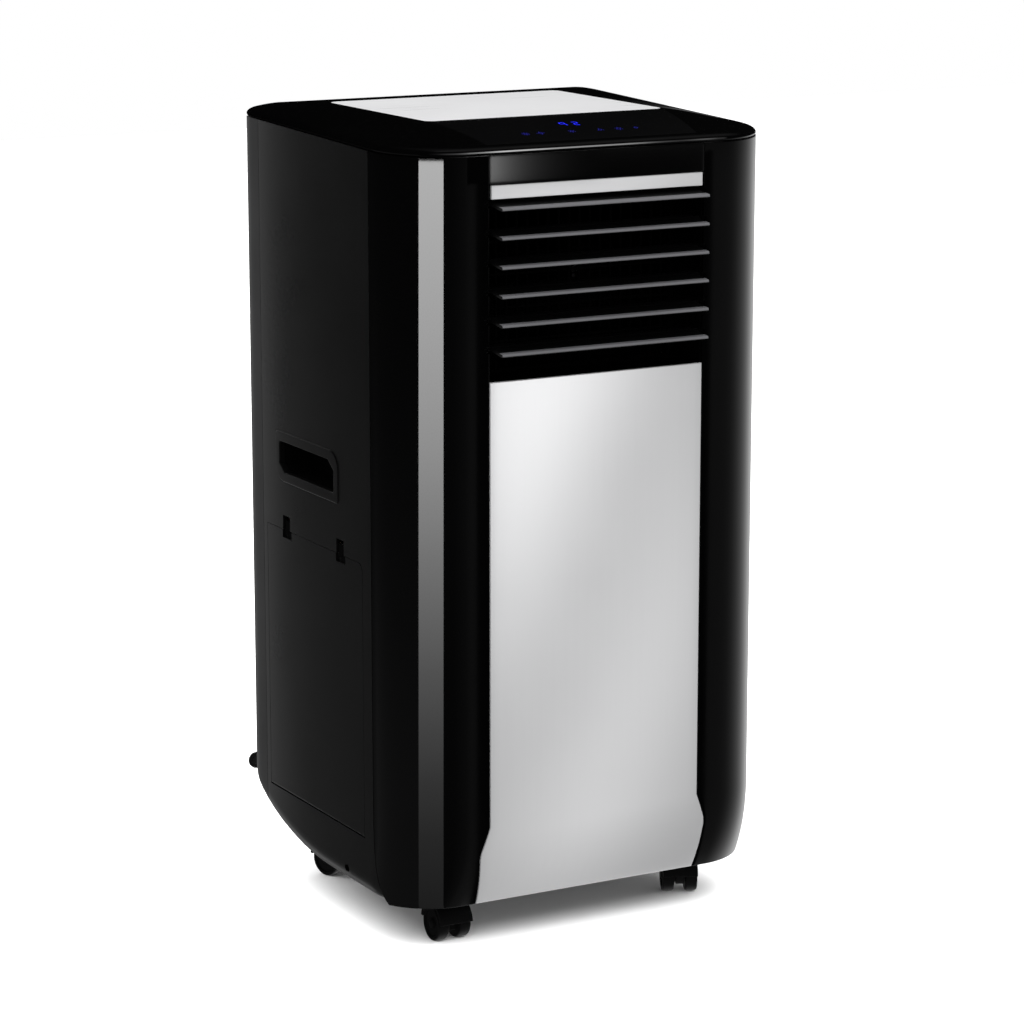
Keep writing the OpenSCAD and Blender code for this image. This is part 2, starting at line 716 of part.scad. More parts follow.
// Centrifugal wheel: blades between end rings, a centre disc and a hub
module blower_wheel(r, depth, w, n, hub_l) {
    rotate([0, 90, 0]) {
        difference() {
            union() {
                for (s = [-1, 1]) translate([0, 0, s * (w / 2 - 1.5)]) difference() {
                    cylinder(r = r, h = 3, center = true, $fn = 96);
                    cylinder(r = r - depth, h = 4, center = true, $fn = 96);
                }
                cylinder(r = r - 1, h = 2.5, center = true, $fn = 96);
                cylinder(r = 12, h = hub_l, center = true, $fn = 48);
                for (i = [0:n - 1]) rotate([0, 0, i * 360 / n]) translate([r - depth + 1, 0, 0])
                    rotate([0, 0, 25]) translate([depth / 2 - 1, 0, 0]) cube([depth - 2, 1.4, w - 2], center = true);
            }
            cylinder(r = shaft_r, h = 400, center = true, $fn = 48);
        }
    }
}

shaft_r = 4;
module evaporator_wheel() color([0.15, 0.15, 0.16]) {
    translate([0, evap_c[0], evap_c[1]]) blower_wheel(evap_wheel_r, 12, 168, 32, 40);
}

module fan_shaft(x0, x1, c) {
    translate([x0, c[0], c[1]]) rotate([0, 90, 0]) cylinder(r = shaft_r, h = x1 - x0, $fn = 48);
}

module evaporator_shaft() color([0.7, 0.7, 0.72]) fan_shaft(-22, 138, evap_c);

// A motor on three arms; the shaft runs in its bore
module fan_motor(r, l, arm_r, arm_x) {
    rotate([0, 90, 0]) difference() {
        union() {
            cylinder(r = r, h = l, $fn = 72);
            translate([0, 0, -3]) cylinder(r = 12, h = 4, $fn = 48);
            for (a = [30, 150, 270]) rotate([0, 0, a]) {
                translate([0, -5, 2]) cube([arm_r, 10, 3]);
                translate([arm_r - 4, -5, arm_x]) cube([4, 10, 5 - arm_x]);
            }
        }
        translate([0, 0, -5]) cylinder(r = shaft_r + 0.08, h = l, $fn = 48);
    }
}

module evaporator_motor() color([0.3, 0.3, 0.32]) {
    translate([108, evap_c[0], evap_c[1]]) fan_motor(36, 38, 66, -7.8);
}

// ---------------------------------------------------------------- hot side
cond_c = [0, 196];
cond_x0 = -58;
cond_x1 = 14;
cond_out = 112;
module cond_profile(grow) {
    translate(cond_c) mirror([1, 0]) polygon(concat(
        spiral(90 + grow, 114 + grow, 155),
        [[-cond_out, 114 + grow], [-cond_out, 36 - grow]]));
}

module condenser_scroll() color([0.2, 0.2, 0.2]) {
    difference() {
        along_x(cond_x0, cond_x1) cond_profile(2.5);
        along_x(cond_x0 + 2.5, cond_x1 - 2.5) cond_profile(0);
        box([cond_x0 + 2.5, cond_out - 5, cond_c[1] + 36], [cond_x1 - 2.5, cond_out + 4, cond_c[1] + 114]);
        translate([cond_x0, cond_c[0], cond_c[1]]) rotate([0, 90, 0]) cylinder(r = 66, h = 20, center = true, $fn = 96);
        translate([cond_x1, cond_c[0], cond_c[1]]) rotate([0, 90, 0]) cylinder(r = 15, h = 20, center = true, $fn = 48);
    }
}

module condenser_wheel() color([0.15, 0.15, 0.16]) {
    translate([(cond_x0 + cond_x1) / 2, cond_c[0], cond_c[1]]) blower_wheel(84, 14, 58, 30, 30);
}

module condenser_shaft() color([0.7, 0.7, 0.72]) fan_shaft(-38, 48, cond_c);

module condenser_motor() color([0.3, 0.3, 0.32]) {
    translate([18, cond_c[0], cond_c[1]]) fan_motor(36, 44, 72, -3.9);
}

// Duct from the blower's square outlet to the round collar
duct_end = 140;
module duct_hull(grow) {
    hull() {
        box([cond_x0 - grow + 2.5, cond_out, cond_c[1] + 36 - grow],
            [cond_x1 + grow - 2.5, cond_out + 1, cond_c[1] + 114 + grow]);
        translate([0, duct_end, collar_z]) rotate([90, 0, 0]) cylinder(r = collar_r - 2 + grow, h = 1, $fn = 64);
    }
}

module exhaust_duct() color([0.2, 0.2, 0.2]) {
    difference() {
        duct_hull(2);
        duct_hull(0);
        box([cond_x0 + 2.5, cond_out - 2, cond_c[1] + 36], [cond_x1 - 2.5, cond_out + 1.2, cond_c[1] + 114]);
        translate([0, duct_end + 1, collar_z]) rotate([90, 0, 0]) cylinder(r = collar_r - 2, h = 2.2, $fn = 64);
    }
}

module exhaust_collar() color([0.05, 0.05, 0.05]) {
    translate([0, duct_end, collar_z]) rotate([-90, 0, 0]) {
        difference() {
            union() {
                cylinder(r = collar_r + 4, h = rear_y + rear_out - duct_end, $fn = 128);
                translate([0, 0, rear_y - wall - duct_end - 3.2]) cylinder(r = collar_r + 12, h = 3, $fn = 128);
            }
            translate([0, 0, -1]) cylinder(r = collar_r, h = 80, $fn = 128);
        }
    }
}

// Rotary compressor on three rubber grommets, with its accumulator
comp_c = [112, -78];
comp_r = 44;
foot_ring = 53;
comp_z = 66;
compressor_feet = [for (a = [90, 210, 330]) [comp_c[0] + foot_ring * cos(a), comp_c[1] + foot_ring * sin(a)]];
module compressor() color([0.05, 0.05, 0.055]) {
    translate([comp_c[0], comp_c[1], comp_z]) {
        difference() {
            union() {
                for (a = [90, 210, 330]) rotate([0, 0, a]) translate([0, -9, 0.4]) cube([foot_ring, 18, 2.2]);
                for (p = compressor_feet) translate([p[0] - comp_c[0], p[1] - comp_c[1], 0]) cylinder(r = 11, h = 3, $fn = 48);
            }
            for (p = compressor_feet) translate([p[0] - comp_c[0], p[1] - comp_c[1], -1])
                cylinder(r = 6.2, h = 5, $fn = 32);
        }
        translate([0, 0, 3]) rotate_extrude($fn = 96) {
            translate([0, -2]) square([comp_r - 12, 186]);
            translate([0, 12]) square([comp_r, 160]);
            translate([comp_r - 12, 12]) circle(12, $fn = 48);
            translate([comp_r - 12, 172]) circle(12, $fn = 48);
        }
        translate([0, 0, 186]) cylinder(r = 6, h = 8, $fn = 32);
        translate([18, 8, 186]) cylinder(r = 11, h = 9, $fn = 48);
    }
}

acc_c = [40, -118];
module accumulator() color([0.05, 0.05, 0.055]) {
    translate([acc_c[0], acc_c[1], 90]) rotate_extrude($fn = 64) {
        square([12, 140]);
        translate([0, 10]) square([22, 120]);
        translate([12, 10]) circle(10, $fn = 48);
        translate([12, 130]) circle(10, $fn = 48);
    }
}

module compressor_grommets() color([0.1, 0.1, 0.1]) {
    for (p = compressor_feet) translate([p[0], p[1], 0]) {
        difference() {
            union() {
                translate([0, 0, underside + 14]) cylinder(r = 9, h = comp_z - underside - 14, $fn = 48);
                translate([0, 0, comp_z - 1]) cylinder(r = 6, h = 5, $fn = 48);
                translate([0, 0, comp_z + 3]) cylinder(r = 8.5, h = 3, $fn = 48);
            }
            translate([0, 0, underside + 10]) cylinder(r = 3.2, h = 60, $fn = 32);
        }
        translate([0, 0, underside + 8]) cylinder(r = 2.9, h = comp_z - underside, $fn = 32);
        translate([0, 0, comp_z + 6]) cylinder(r = 5.5, h = 4, $fn = 6);
    }
}

// A copper pipe through a list of corners, with a brazed fitting at each corner
module pipe(points, r) {
    for (i = [0:len(points) - 2]) {
        d = points[i + 1] - points[i];
        translate(points[i]) rotate([0, acos(d[2] / norm(d)), atan2(d[1], d[0])]) cylinder(r = r, h = norm(d), $fn = 24);
    }
    for (i = [1:len(points) - 2]) translate(points[i]) sphere(r + 0.8, $fn = 24);
}

module refrigerant_pipes() color([0.72, 0.42, 0.25]) {
    // Discharge to the condenser
    pipe([[comp_c[0], comp_c[1], comp_z + 194], [comp_c[0], comp_c[1], 330], [-152, comp_c[1], 330],
        [-152, comp_c[1], 319.2]], 4);
    // Liquid line to the evaporator
    pipe([[-152, 106.2, 100], [-152, 116, 100], [-152, 116, 372], [-145.1, 116, 372]], 3);
    // Suction line to the accumulator
    pipe([[143.1, 130, 560], [154, 130, 560], [154, 130, 300], [154, -130, 300], [acc_c[0], -130, 300],
        [acc_c[0], acc_c[1], 300], [acc_c[0], acc_c[1], 230.2]], 5);
    pipe([[acc_c[0], acc_c[1], 89.8], [acc_c[0], acc_c[1], 80], [62, acc_c[1], 80], [84, -104, 84]], 4);
}

module control_box() color([0.7, 0.7, 0.72]) {
    difference() {
        box([112, -128, 380], [164, -60, 500]);
        box([114, -126, 382], [166, -62, 498]);
    }
    box([116, -120, 390], [117.6, -68, 490]);
    for (z = [400, 430]) box([117.6, -112, z], [132, -90, z + 18]);
    translate([132, -80, 440]) cylinder(r = 12, h = 50, $fn = 48);
}

// ---------------------------------------------------------------- rear fittings
// A T-shaped hook round which the cord is wound for storage
module cord_hooks() color([0.05, 0.05, 0.05]) {
    for (s = [-1, 1]) translate([s * hook_x, rear_y, hook_z]) rotate([-90, 0, 0]) {
        translate([0, 0, -20]) cylinder(r = hook_post_r, h = rear_out + 18, $fn = 48);
        translate([0, 0, rear_out - 3]) cylinder(r = 7.7, h = 3, $fn = 48);
    }
}

module cord_gland() color([0.04, 0.04, 0.04]) {
    translate([gland_x, rear_y, gland_z]) rotate([-90, 0, 0]) difference() {
        union() {
            translate([0, 0, -wall - 3]) cylinder(r = 9, h = 12, $fn = 48);
            cylinder(r = 12, h = 3, $fn = 48);
            translate([0, 0, 3]) cylinder(r = 8, h = 8, $fn = 48);
        }
        translate([0, 0, -20]) cylinder(r = 3.6, h = 40, $fn = 32);
    }
}

module plug(y0) {
    translate([0, y0, 0]) rotate([-90, 0, 0]) {
        cylinder(r = plug_r, h = 12, $fn = 48);
        translate([0, 0, 12]) cylinder(r = plug_r + 3.5, h = 3, $fn = 48);
        translate([-1.5, -5, 15]) cube([3, 10, 5]);
    }
}

module drain_plug_lower() color([0.08, 0.08, 0.08]) translate([0, 0, lower_drain_z]) plug(135.1);
module drain_plug_upper() color([0.08, 0.08, 0.08]) translate([-drain_x, 0, upper_drain_z]) plug(rear_y - 11.8);

module rear_screws() color([0.6, 0.6, 0.62]) {
    for (p = screw_spots) translate([p[0], rear_y, p[1]]) rotate([-90, 0, 0]) {
        translate([0, 0, -10]) cylinder(r = 2, h = 10, $fn = 24);
        difference() {
            cylinder(r = 4.2, h = 2, $fn = 32);
            for (a = [0, 90]) rotate([0, 0, a]) translate([-2.4, -0.5, 1]) cube([4.8, 1, 2]);
        }
    }
}

// ---------------------------------------------------------------- casters
stem_r = 4;
trail = 8;
fork_w = 9;
axle_z = wheel_r;
caster_spots = [
    [-caster_x, front_y + caster_front], [caster_x, front_y + caster_front],
    [-caster_x, front_y + caster_rear], [caster_x, front_y + caster_rear]];
// Turn of each caster about its stem at rest
caster_turn = [0, 155, 200, 170];

module caster_at(i) {
    translate([caster_spots[i][0], caster_spots[i][1], 0]) rotate([0, 0, caster_turn[i]]) children();
}

module caster(i) color([0.05, 0.05, 0.05]) caster_at(i) {
    translate([0, 0, underside - 3]) cylinder(r = stem_r, h = 16, $fn = 48);
    difference() {
        union() {
            translate([0, 0, underside - 6]) cylinder(r = 11, h = 5.4, $fn = 64);
            // Body between the two wheels and the hood over them
            box([-fork_w / 2 + 0.6, -trail - 9, axle_z - 6], [fork_w / 2 - 0.6, 9, underside - 3]);
            intersection() {
                translate([0, -trail, axle_z]) rotate([0, 90, 0]) cylinder(r = wheel_r + 4, h = 34, center = true, $fn = 64);
                box([-17, -trail - 30, axle_z + 3], [17, 20, underside - 2]);
            }
        }
        for (s = [-1, 1]) translate([s * (fork_w / 2 + 20), -trail, axle_z]) rotate([0, 90, 0])
            cylinder(r = wheel_r + 1, h = 40, center = true, $fn = 64);
        translate([0, -trail, axle_z]) rotate([0, 90, 0]) cylinder(r = 3.08, h = 80, center = true, $fn = 32);
    }
}

module wheels(i) color([0.03, 0.03, 0.03]) caster_at(i) translate([0, -trail, axle_z]) rotate([0, 90, 0]) {
    cylinder(r = 3, h = 2 * fork_w, center = true, $fn = 32);
    for (s = [-1, 1]) difference() {
        translate([0, 0, s * (fork_w / 2 + 5.6)]) cylinder(r = wheel_r, h = 11, center = true, $fn = 72);
        translate([0, 0, s * (fork_w / 2 + 10.8)]) difference() {
            cylinder(r = wheel_r - 3, h = 3, center = true, $fn = 48);
            cylinder(r = 4, h = 4, center = true, $fn = 32);
        }
    }
}

// ---------------------------------------------------------------- drawing
base_tray();
front_shell();
side_panel_left();
side_panel_right();
rear_cover();
top_cover();
top_plate();
control_glass();
display_board();
front_panel();
trim_strip();
front_band();
louvre_housing();
louvre_link();
swing_motor();
outlet_guard();
filter_door();
door_latches();
side_filter();
rear_grille();
rear_filter();
handle_left();
handle_right();
drain_pan();
evaporator_coil();
evaporator_scroll();
evaporator_wheel();
evaporator_shaft();
evaporator_motor();
condenser_coil();
condenser_scroll();
condenser_wheel();
condenser_shaft();
condenser_motor();
compressor();
accumulator();
compressor_grommets();
refrigerant_pipes();
control_box();
exhaust_duct();
exhaust_collar();
cord_hooks();
cord_gland();
drain_plug_lower();
drain_plug_upper();
rear_screws();
for (i = [1:6]) louvre_blade(i);
caster(0);  // caster_front_left
caster(1);  // caster_front_right
caster(2);  // caster_rear_left
caster(3);  // caster_rear_right
wheels(0);  // wheels_front_left
wheels(1);  // wheels_front_right
wheels(2);  // wheels_rear_left
wheels(3);  // wheels_rear_right
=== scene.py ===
"""Looks of the portable air conditioner: bevelled shells, moulded finishes and a studio round them.

Everything is in metres in the part's frame: the front faces -Y, +Z is up, the origin is on the floor.
"""

import json
import math

import bmesh
import bpy
from mathutils import Matrix, Vector

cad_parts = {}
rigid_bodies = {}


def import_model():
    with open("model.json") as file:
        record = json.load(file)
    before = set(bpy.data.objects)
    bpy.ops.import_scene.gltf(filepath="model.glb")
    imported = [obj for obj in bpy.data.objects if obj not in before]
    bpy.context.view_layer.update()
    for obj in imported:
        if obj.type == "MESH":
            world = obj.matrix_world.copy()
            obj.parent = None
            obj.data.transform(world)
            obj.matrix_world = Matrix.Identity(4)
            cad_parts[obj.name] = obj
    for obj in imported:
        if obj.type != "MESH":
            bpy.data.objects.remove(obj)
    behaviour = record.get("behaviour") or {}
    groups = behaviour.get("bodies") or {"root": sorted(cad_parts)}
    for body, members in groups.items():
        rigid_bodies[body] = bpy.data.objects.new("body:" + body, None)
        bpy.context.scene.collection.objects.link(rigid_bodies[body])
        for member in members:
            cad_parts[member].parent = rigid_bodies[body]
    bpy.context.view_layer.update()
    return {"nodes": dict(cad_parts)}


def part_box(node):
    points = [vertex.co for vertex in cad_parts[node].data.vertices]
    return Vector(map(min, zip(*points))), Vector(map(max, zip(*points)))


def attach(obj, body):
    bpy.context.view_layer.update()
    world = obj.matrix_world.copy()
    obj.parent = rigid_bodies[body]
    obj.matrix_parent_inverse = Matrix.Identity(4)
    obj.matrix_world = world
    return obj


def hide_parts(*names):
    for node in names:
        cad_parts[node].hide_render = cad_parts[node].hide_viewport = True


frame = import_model()

# ------------------------------------------------------------------ sizes
MM = 0.001
HALF_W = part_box("front_shell")[1].x
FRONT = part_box("front_shell")[0].y
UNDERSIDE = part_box("front_shell")[0].z
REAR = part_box("rear_cover")[1].y
PLATE_LO, PLATE_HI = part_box("top_plate")
PLATE_Y = (PLATE_LO.y + PLATE_HI.y) / 2
PLATE_HALF = (PLATE_HI.y - PLATE_LO.y) / 2
TOP = PLATE_HI.z
STRIP_LO, STRIP_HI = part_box("trim_strip")
GRILLE_LO, GRILLE_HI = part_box("rear_grille")

FRONT_R = 59.5 * MM
REAR_R = 33 * MM
WALL = 3 * MM
GAP = 0.4 * MM
COLUMN = 102 * MM
PANEL_TOP = 488.2 * MM
OPENING_TOP = STRIP_LO.z
SEAM_FRONT_Z = 674.5 * MM
SEAM_REAR_Z = 684.5 * MM
DEPTH = REAR - FRONT
TUCK_R = 150 * MM
TUCK_Z = 105 * MM
SWEEP_Y = 170 * MM
SWEEP_Z = 80 * MM
SEAM_FRONT = FRONT + 64 * MM
SEAM_REAR = REAR - 49 * MM
SEAM_TUCK = 25 * MM
SEAM_TUCK_Z = 115 * MM
LOWER_EDGE_R = 16 * MM
BLADES = 6
BLADE_Z0 = 514.9 * MM
BLADE_PITCH = 23.9 * MM
BLADE_TILT = math.radians(7)
PIVOT_Y = FRONT + 8 * MM
HANDLE_Y = FRONT + 187 * MM
HANDLE_Z = 393 * MM
BEZEL_Y, BEZEL_Z = 62 * MM, 22.25 * MM
GRIP_Y, GRIP_Z = 53.2 * MM, 13.4 * MM
CUP_DEPTH = 27
BEZEL_CORNERS = (4 * MM, 15 * MM, 4 * MM, 15 * MM)
BOW, BOW_LENGTH = 2 * MM, 75 * MM
DOOR_Y0, DOOR_Y1 = FRONT + 81 * MM, FRONT + 268 * MM
DOOR_Z0, DOOR_Z1 = 89 * MM, 328 * MM
DOOR_R = 8 * MM
LATCHES = (FRONT + 123 * MM, FRONT + 229 * MM)
FLARE = [80 * MM, 86 * MM, 108 * MM]
SCREW_SPOTS = ((158, 365), (158, 520), (158, 655), (60, 655))
SCREWS = [(side * x * MM, z * MM) for side in (-1, 1) for x, z in SCREW_SPOTS]
# The camera's place; the soft boxes are laid out for what it sees mirrored
EYE = Vector((-1.45098, -2.65124, 0.99327))


# ------------------------------------------------------------------ materials
def shader(name, colour, roughness, metallic=0.0, **sockets):
    """A material with a Principled shader whose constant values sit on its own sockets."""
    mat = bpy.data.materials.new(name)
    mat.use_nodes = True
    bsdf = mat.node_tree.nodes["Principled BSDF"]
    bsdf.inputs["Base Color"].default_value = (*colour, 1)
    bsdf.inputs["Roughness"].default_value = roughness
    bsdf.inputs["Metallic"].default_value = metallic
    for socket, value in sockets.items():
        bsdf.inputs[socket.replace("_", " ")].default_value = value
    mat.diffuse_color = (*colour, 1)
    return mat, mat.node_tree, bsdf


def feed(tree, socket, value):
    """Sets a socket to a constant or links another node's output to it."""
    if isinstance(value, bpy.types.NodeSocket):
        tree.links.new(value, socket)
    else:
        socket.default_value = value


def node(tree, kind, **inputs):
    """A new shader node; its inputs, with _ for a space, take constants or other nodes' outputs."""
    made = tree.nodes.new("ShaderNode" + kind)
    for name, value in inputs.items():
        feed(tree, made.inputs[name.replace("_", " ")], value)
    return made


def noise(tree, scale, detail=4.0, stretch=None):
    """A noise value over the object's own coordinates, per metre."""
    source = node(tree, "TexCoord").outputs["Object"]
    if stretch:
        source = node(tree, "Mapping", Scale=stretch, Vector=source).outputs["Vector"]
    return node(tree, "TexNoise", Scale=scale, Detail=detail, Roughness=0.55, Vector=source).outputs["Fac"]


def spread(tree, value, low, high, at=(0.3, 0.7)):
    """Maps a value from the range `at` to low..high."""
    made = node(tree, "MapRange", From_Min=at[0], From_Max=at[1], To_Min=low, To_Max=high, Value=value)
    return made.outputs["Result"]


def ramp(tree, value, stops):
    """A colour read off (place, colour) stops."""
    made = node(tree, "ValToRGB", Fac=value)
    elements = made.color_ramp.elements
    while len(elements) < len(stops):
        elements.new(0.5)
    for element, (place, colour) in zip(elements, stops):
        element.position = place
        element.color = (*colour, 1)
    return made.outputs["Color"]


def tint(tree, value, dark, light):
    """A colour between dark and light, picked by a value."""
    return ramp(tree, value, [(0.3, dark), (0.7, light)])


def bump(tree, bsdf, height, strength, distance):
    made = node(tree, "Bump", Strength=strength, Distance=distance, Height=height)
    feed(tree, bsdf.inputs["Normal"], made.outputs["Normal"])


def math_node(tree, operation, *values):
    made = node(tree, "Math")
    made.operation = operation
    for socket, value in zip(made.inputs, values):
        feed(tree, socket, value)
    return made.outputs[0]


def added(tree, first, second, share):
    """first + share * second"""
    return math_node(tree, "MULTIPLY_ADD", second, share, first)


def plastic(name, dark, light, rough, grain, depth, soft=0.0, **sockets):
    """A moulded plastic: fine grain, handling marks in its gloss and a slight drift of its colour."""
    mat, tree, bsdf = shader(name, light, rough[0], **sockets)
    smudge = noise(tree, 9, 5)
    fine = noise(tree, grain, 2)
    feed(tree, bsdf.inputs["Base Color"], tint(tree, noise(tree, 5, 3), dark, light))
    gloss = spread(tree, added(tree, smudge, fine, 0.25), *rough, at=(0.35, 0.95))
    feed(tree, bsdf.inputs["Roughness"], gloss)
    height = added(tree, fine, noise(tree, 14, 1), soft) if soft else fine
    bump(tree, bsdf, height, 0.35, depth)
    return mat


def metal(name, dark, light, rough, stretch, depth, metallic=1.0, **sockets):
    """A metal with drawn or brushed lines along the axis that stretch leaves long."""
    mat, tree, bsdf = shader(name, light, rough[0], metallic, **sockets)
    lines = noise(tree, 260, 3, stretch)
    cloud = noise(tree, 6, 4)
    feed(tree, bsdf.inputs["Base Color"], tint(tree, added(tree, cloud, lines, 0.3), dark, light))
    gloss = spread(tree, added(tree, cloud, lines, 0.5), *rough, at=(0.5, 1.0))
    feed(tree, bsdf.inputs["Roughness"], gloss)
    bump(tree, bsdf, lines, 0.2, depth)
    return mat


def grey(value, blue=1.06):
    return (value, value, value * blue)


def mesh_cloth(name, dark, light, pitch):
    """Fine filter gauze: threads crossed along all three axes."""
    mat, tree, bsdf = shader(name, light, 0.7)
    coords = node(tree, "TexCoord").outputs["Object"]
    threads = []
    for axis in ("X", "Z", "Y"):
        wave = node(tree, "TexWave", Scale=0.314 / pitch, Vector=coords)
        wave.bands_direction = axis
        threads.append(wave.outputs["Fac"])
    height = added(tree, added(tree, threads[0], threads[1], 1.0), threads[2], 1.0)
    feed(tree, bsdf.inputs["Base Color"], tint(tree, spread(tree, height, 0, 1, at=(0, 3)), dark, light))
    bump(tree, bsdf, height, 0.8, 0.3 * MM)
    return mat


def glow(name, colour, strength):
    """A lit display segment whose light drifts a little from place to place."""
    mat, tree, bsdf = shader(name, (0.01, 0.01, 0.05), 0.3)
    bsdf.inputs["Emission Color"].default_value = (*colour, 1)
    light = spread(tree, noise(tree, 700, 1), 0.8 * strength, strength)
    feed(tree, bsdf.inputs["Emission Strength"], light)
    return mat


GLOSS_BLACK = plastic("gloss_black", grey(0.0006), grey(0.001), (0.03, 0.06), 500, 0.003 * MM, 0.6)
BAND_BLACK = plastic("band_black", grey(0.0008), grey(0.0014), (0.09, 0.14), 500, 0.004 * MM, 0.4)
SATIN_BLACK = plastic("satin_black", grey(0.001), grey(0.0018), (0.26, 0.34), 1500, 0.03 * MM)
GRAINED_BLACK = plastic("grained_black", grey(0.008), grey(0.013), (0.4, 0.52), 1100, 0.08 * MM)
DEEP_BLACK = plastic("deep_black", grey(0.0008), grey(0.0015), (0.6, 0.72), 1100, 0.06 * MM,
                     Specular_IOR_Level=0.12)
BLADE_BLACK = plastic("blade_black", grey(0.0015), grey(0.0025), (0.4, 0.5), 1300, 0.02 * MM,
                      Specular_IOR_Level=0.25)
# Lighter grey for the blades' lips: a painted highlight standing in for the light that catches their front
# edges
LIP_PAINTED_HIGHLIGHT = plastic("lip_painted_highlight", grey(0.13), grey(0.17), (0.3, 0.4), 1300, 0.02 * MM)
LIGHT_PLASTIC = plastic("light_plastic", (0.68, 0.68, 0.65), (0.76, 0.76, 0.73), (0.4, 0.5), 900, 0.05 * MM)
GREY_PLASTIC = plastic("grey_plastic", grey(0.1), grey(0.13), (0.4, 0.5), 900, 0.05 * MM)
# Black caster plastic, made darker still than the other matte blacks as painted shade beneath the cabinet
WHEEL_BLACK_PAINTED_SHADE = plastic("wheel_black_painted_shade", grey(0.0025), grey(0.004), (0.45, 0.55), 800, 0.05 * MM,
                        Specular_IOR_Level=0.15)
RUBBER = plastic("rubber", grey(0.012), grey(0.02), (0.6, 0.75), 1400, 0.05 * MM)
GLASS_BLACK = plastic("glass_black", grey(0.002), grey(0.003), (0.02, 0.04), 400, 0.001 * MM, IOR=1.52)
BOARD = plastic("board", (0.015, 0.13, 0.05), (0.02, 0.18, 0.07), (0.3, 0.4), 900, 0.02 * MM)
SILVER = metal("silver", (0.83, 0.83, 0.84), (0.87, 0.87, 0.88), (0.17, 0.21), (1, 1, 0.02), 0.0006 * MM,
               0.6)
PLATE_SILVER = metal("plate_silver", (0.92, 0.92, 0.93), (0.95, 0.95, 0.96), (0.27, 0.32), (0.02, 1, 1),
                     0.0004 * MM, 0.06)
STEEL = metal("steel", (0.5, 0.5, 0.51), (0.66, 0.66, 0.67), (0.25, 0.4), (1, 0.05, 1), 0.01 * MM)
SHEET_STEEL = metal("sheet_steel", (0.5, 0.5, 0.52), (0.64, 0.64, 0.66), (0.35, 0.5), (1, 1, 1), 0.01 * MM)
FINS = metal("fins", (0.62, 0.62, 0.62), (0.74, 0.74, 0.74), (0.3, 0.4), (1, 1, 0.05), 0.01 * MM)
COPPER = metal("copper", (0.55, 0.25, 0.13), (0.72, 0.38, 0.22), (0.25, 0.4), (1, 1, 0.1), 0.01 * MM)
ENAMEL = plastic("enamel", grey(0.012), grey(0.02), (0.3, 0.4), 300, 0.05 * MM, 0.5)
GAUZE = mesh_cloth("gauze", (0.03, 0.04, 0.06), (0.16, 0.19, 0.24), 1.2 * MM)
BLUE_LED = glow("blue_led", (0.01, 0.02, 1.0), 1.4)
DIM_LED = glow("dim_led", (0.02, 0.02, 1.0), 0.16)


# ------------------------------------------------------------------ mesh helpers
def new_object(name, data):
    obj = bpy.data.objects.new(name, data)
    bpy.context.scene.collection.objects.link(obj)
    return obj


def to_object(name, bm):
    mesh = bpy.data.meshes.new(name)
    bm.to_mesh(mesh)
    bm.free()
    return new_object(name, mesh)


def grid(name, rows, closed=False, inside=Vector((0, 0, 0.35))):
    """A sheet through rows of points, its faces turned away from the point `inside`."""
    bm = bmesh.new()
    verts = [[bm.verts.new(p) for p in row] for row in rows]
    n = len(rows[0])
    for a, b in zip(verts, verts[1:]):
        for i in range(n if closed else n - 1):
            j = (i + 1) % n
            bm.faces.new((a[i], a[j], b[j], b[i]))
    bmesh.ops.remove_doubles(bm, verts=bm.verts, dist=1e-6)
    bm.normal_update()
    if sum(f.normal.dot(f.calc_center_median() - inside) * f.calc_area() for f in bm.faces) < 0:
        bmesh.ops.reverse_faces(bm, faces=bm.faces)
    return to_object(name, bm)


def prism(outline, axis, low, high):
    """A bmesh prism over an outline of 2-D points, along the axis 0, 1 or 2."""
    bm = bmesh.new()
    ends = []
    for level in (low, high):
        ring = []
        for a, b in outline:
            p = [a, b]
            p.insert(axis, level)
            ring.append(bm.verts.new(p))
        ends.append(ring)
        bm.faces.new(ring)
    n = len(outline)
    for i in range(n):
        bm.faces.new((ends[0][i], ends[0][(i + 1) % n], ends[1][(i + 1) % n], ends[1][i]))
    bmesh.ops.recalc_face_normals(bm, faces=bm.faces)
    return bm


def block(low, high):
    (x0, y0, z0), (x1, y1, z1) = low, high
    return prism([(x0, y0), (x1, y0), (x1, y1), (x0, y1)], 2, z0, z1)


def lathe(profile, steps=64):
    """A bmesh turned about Z from (radius, height) points; an end of radius 0 closes on the axis."""
    bm = bmesh.new()
    rings = []
    for r, z in profile:
        if r == 0:
            rings.append([bm.verts.new((0, 0, z))] * steps)
        else:
            turns = [2 * math.pi * i / steps for i in range(steps)]
            rings.append([bm.verts.new((r * math.cos(t), r * math.sin(t), z)) for t in turns])
    for a, b in zip(rings, rings[1:]):
        for i in range(steps):
            j = (i + 1) % steps
            corners = list(dict.fromkeys((a[i], a[j], b[j], b[i])))
            if len(corners) > 2:
                bm.faces.new(corners)
    bmesh.ops.recalc_face_normals(bm, faces=bm.faces)
    return bm


def turned(profile, at, toward=(0, 1, 0), steps=48):
    """A lathed bmesh of a profile in mm that stands at a place and points toward an axis."""
    bm = lathe(profile, steps)
    bm.transform(Matrix.Scale(MM, 4))
    return placed(bm, at, toward)


def merged(*parts):
    """One bmesh out of several."""
    whole = bmesh.new()
    for bm in parts:
        mesh = bpy.data.meshes.new("part")
        bm.to_mesh(mesh)
        bm.free()
        whole.from_mesh(mesh)
        bpy.data.meshes.remove(mesh)
    return whole


def placed(bm, at=(0, 0, 0), toward=None, turn=0.0):
    """Turns a bmesh so that its Z points toward an axis, then moves it."""
    matrix = Matrix.Rotation(turn, 4, "Z")
    if toward is not None:
        matrix = Vector(toward).to_track_quat("Z", "Y").to_matrix().to_4x4() @ matrix
    bm.transform(Matrix.Translation(at) @ matrix)
    return bm


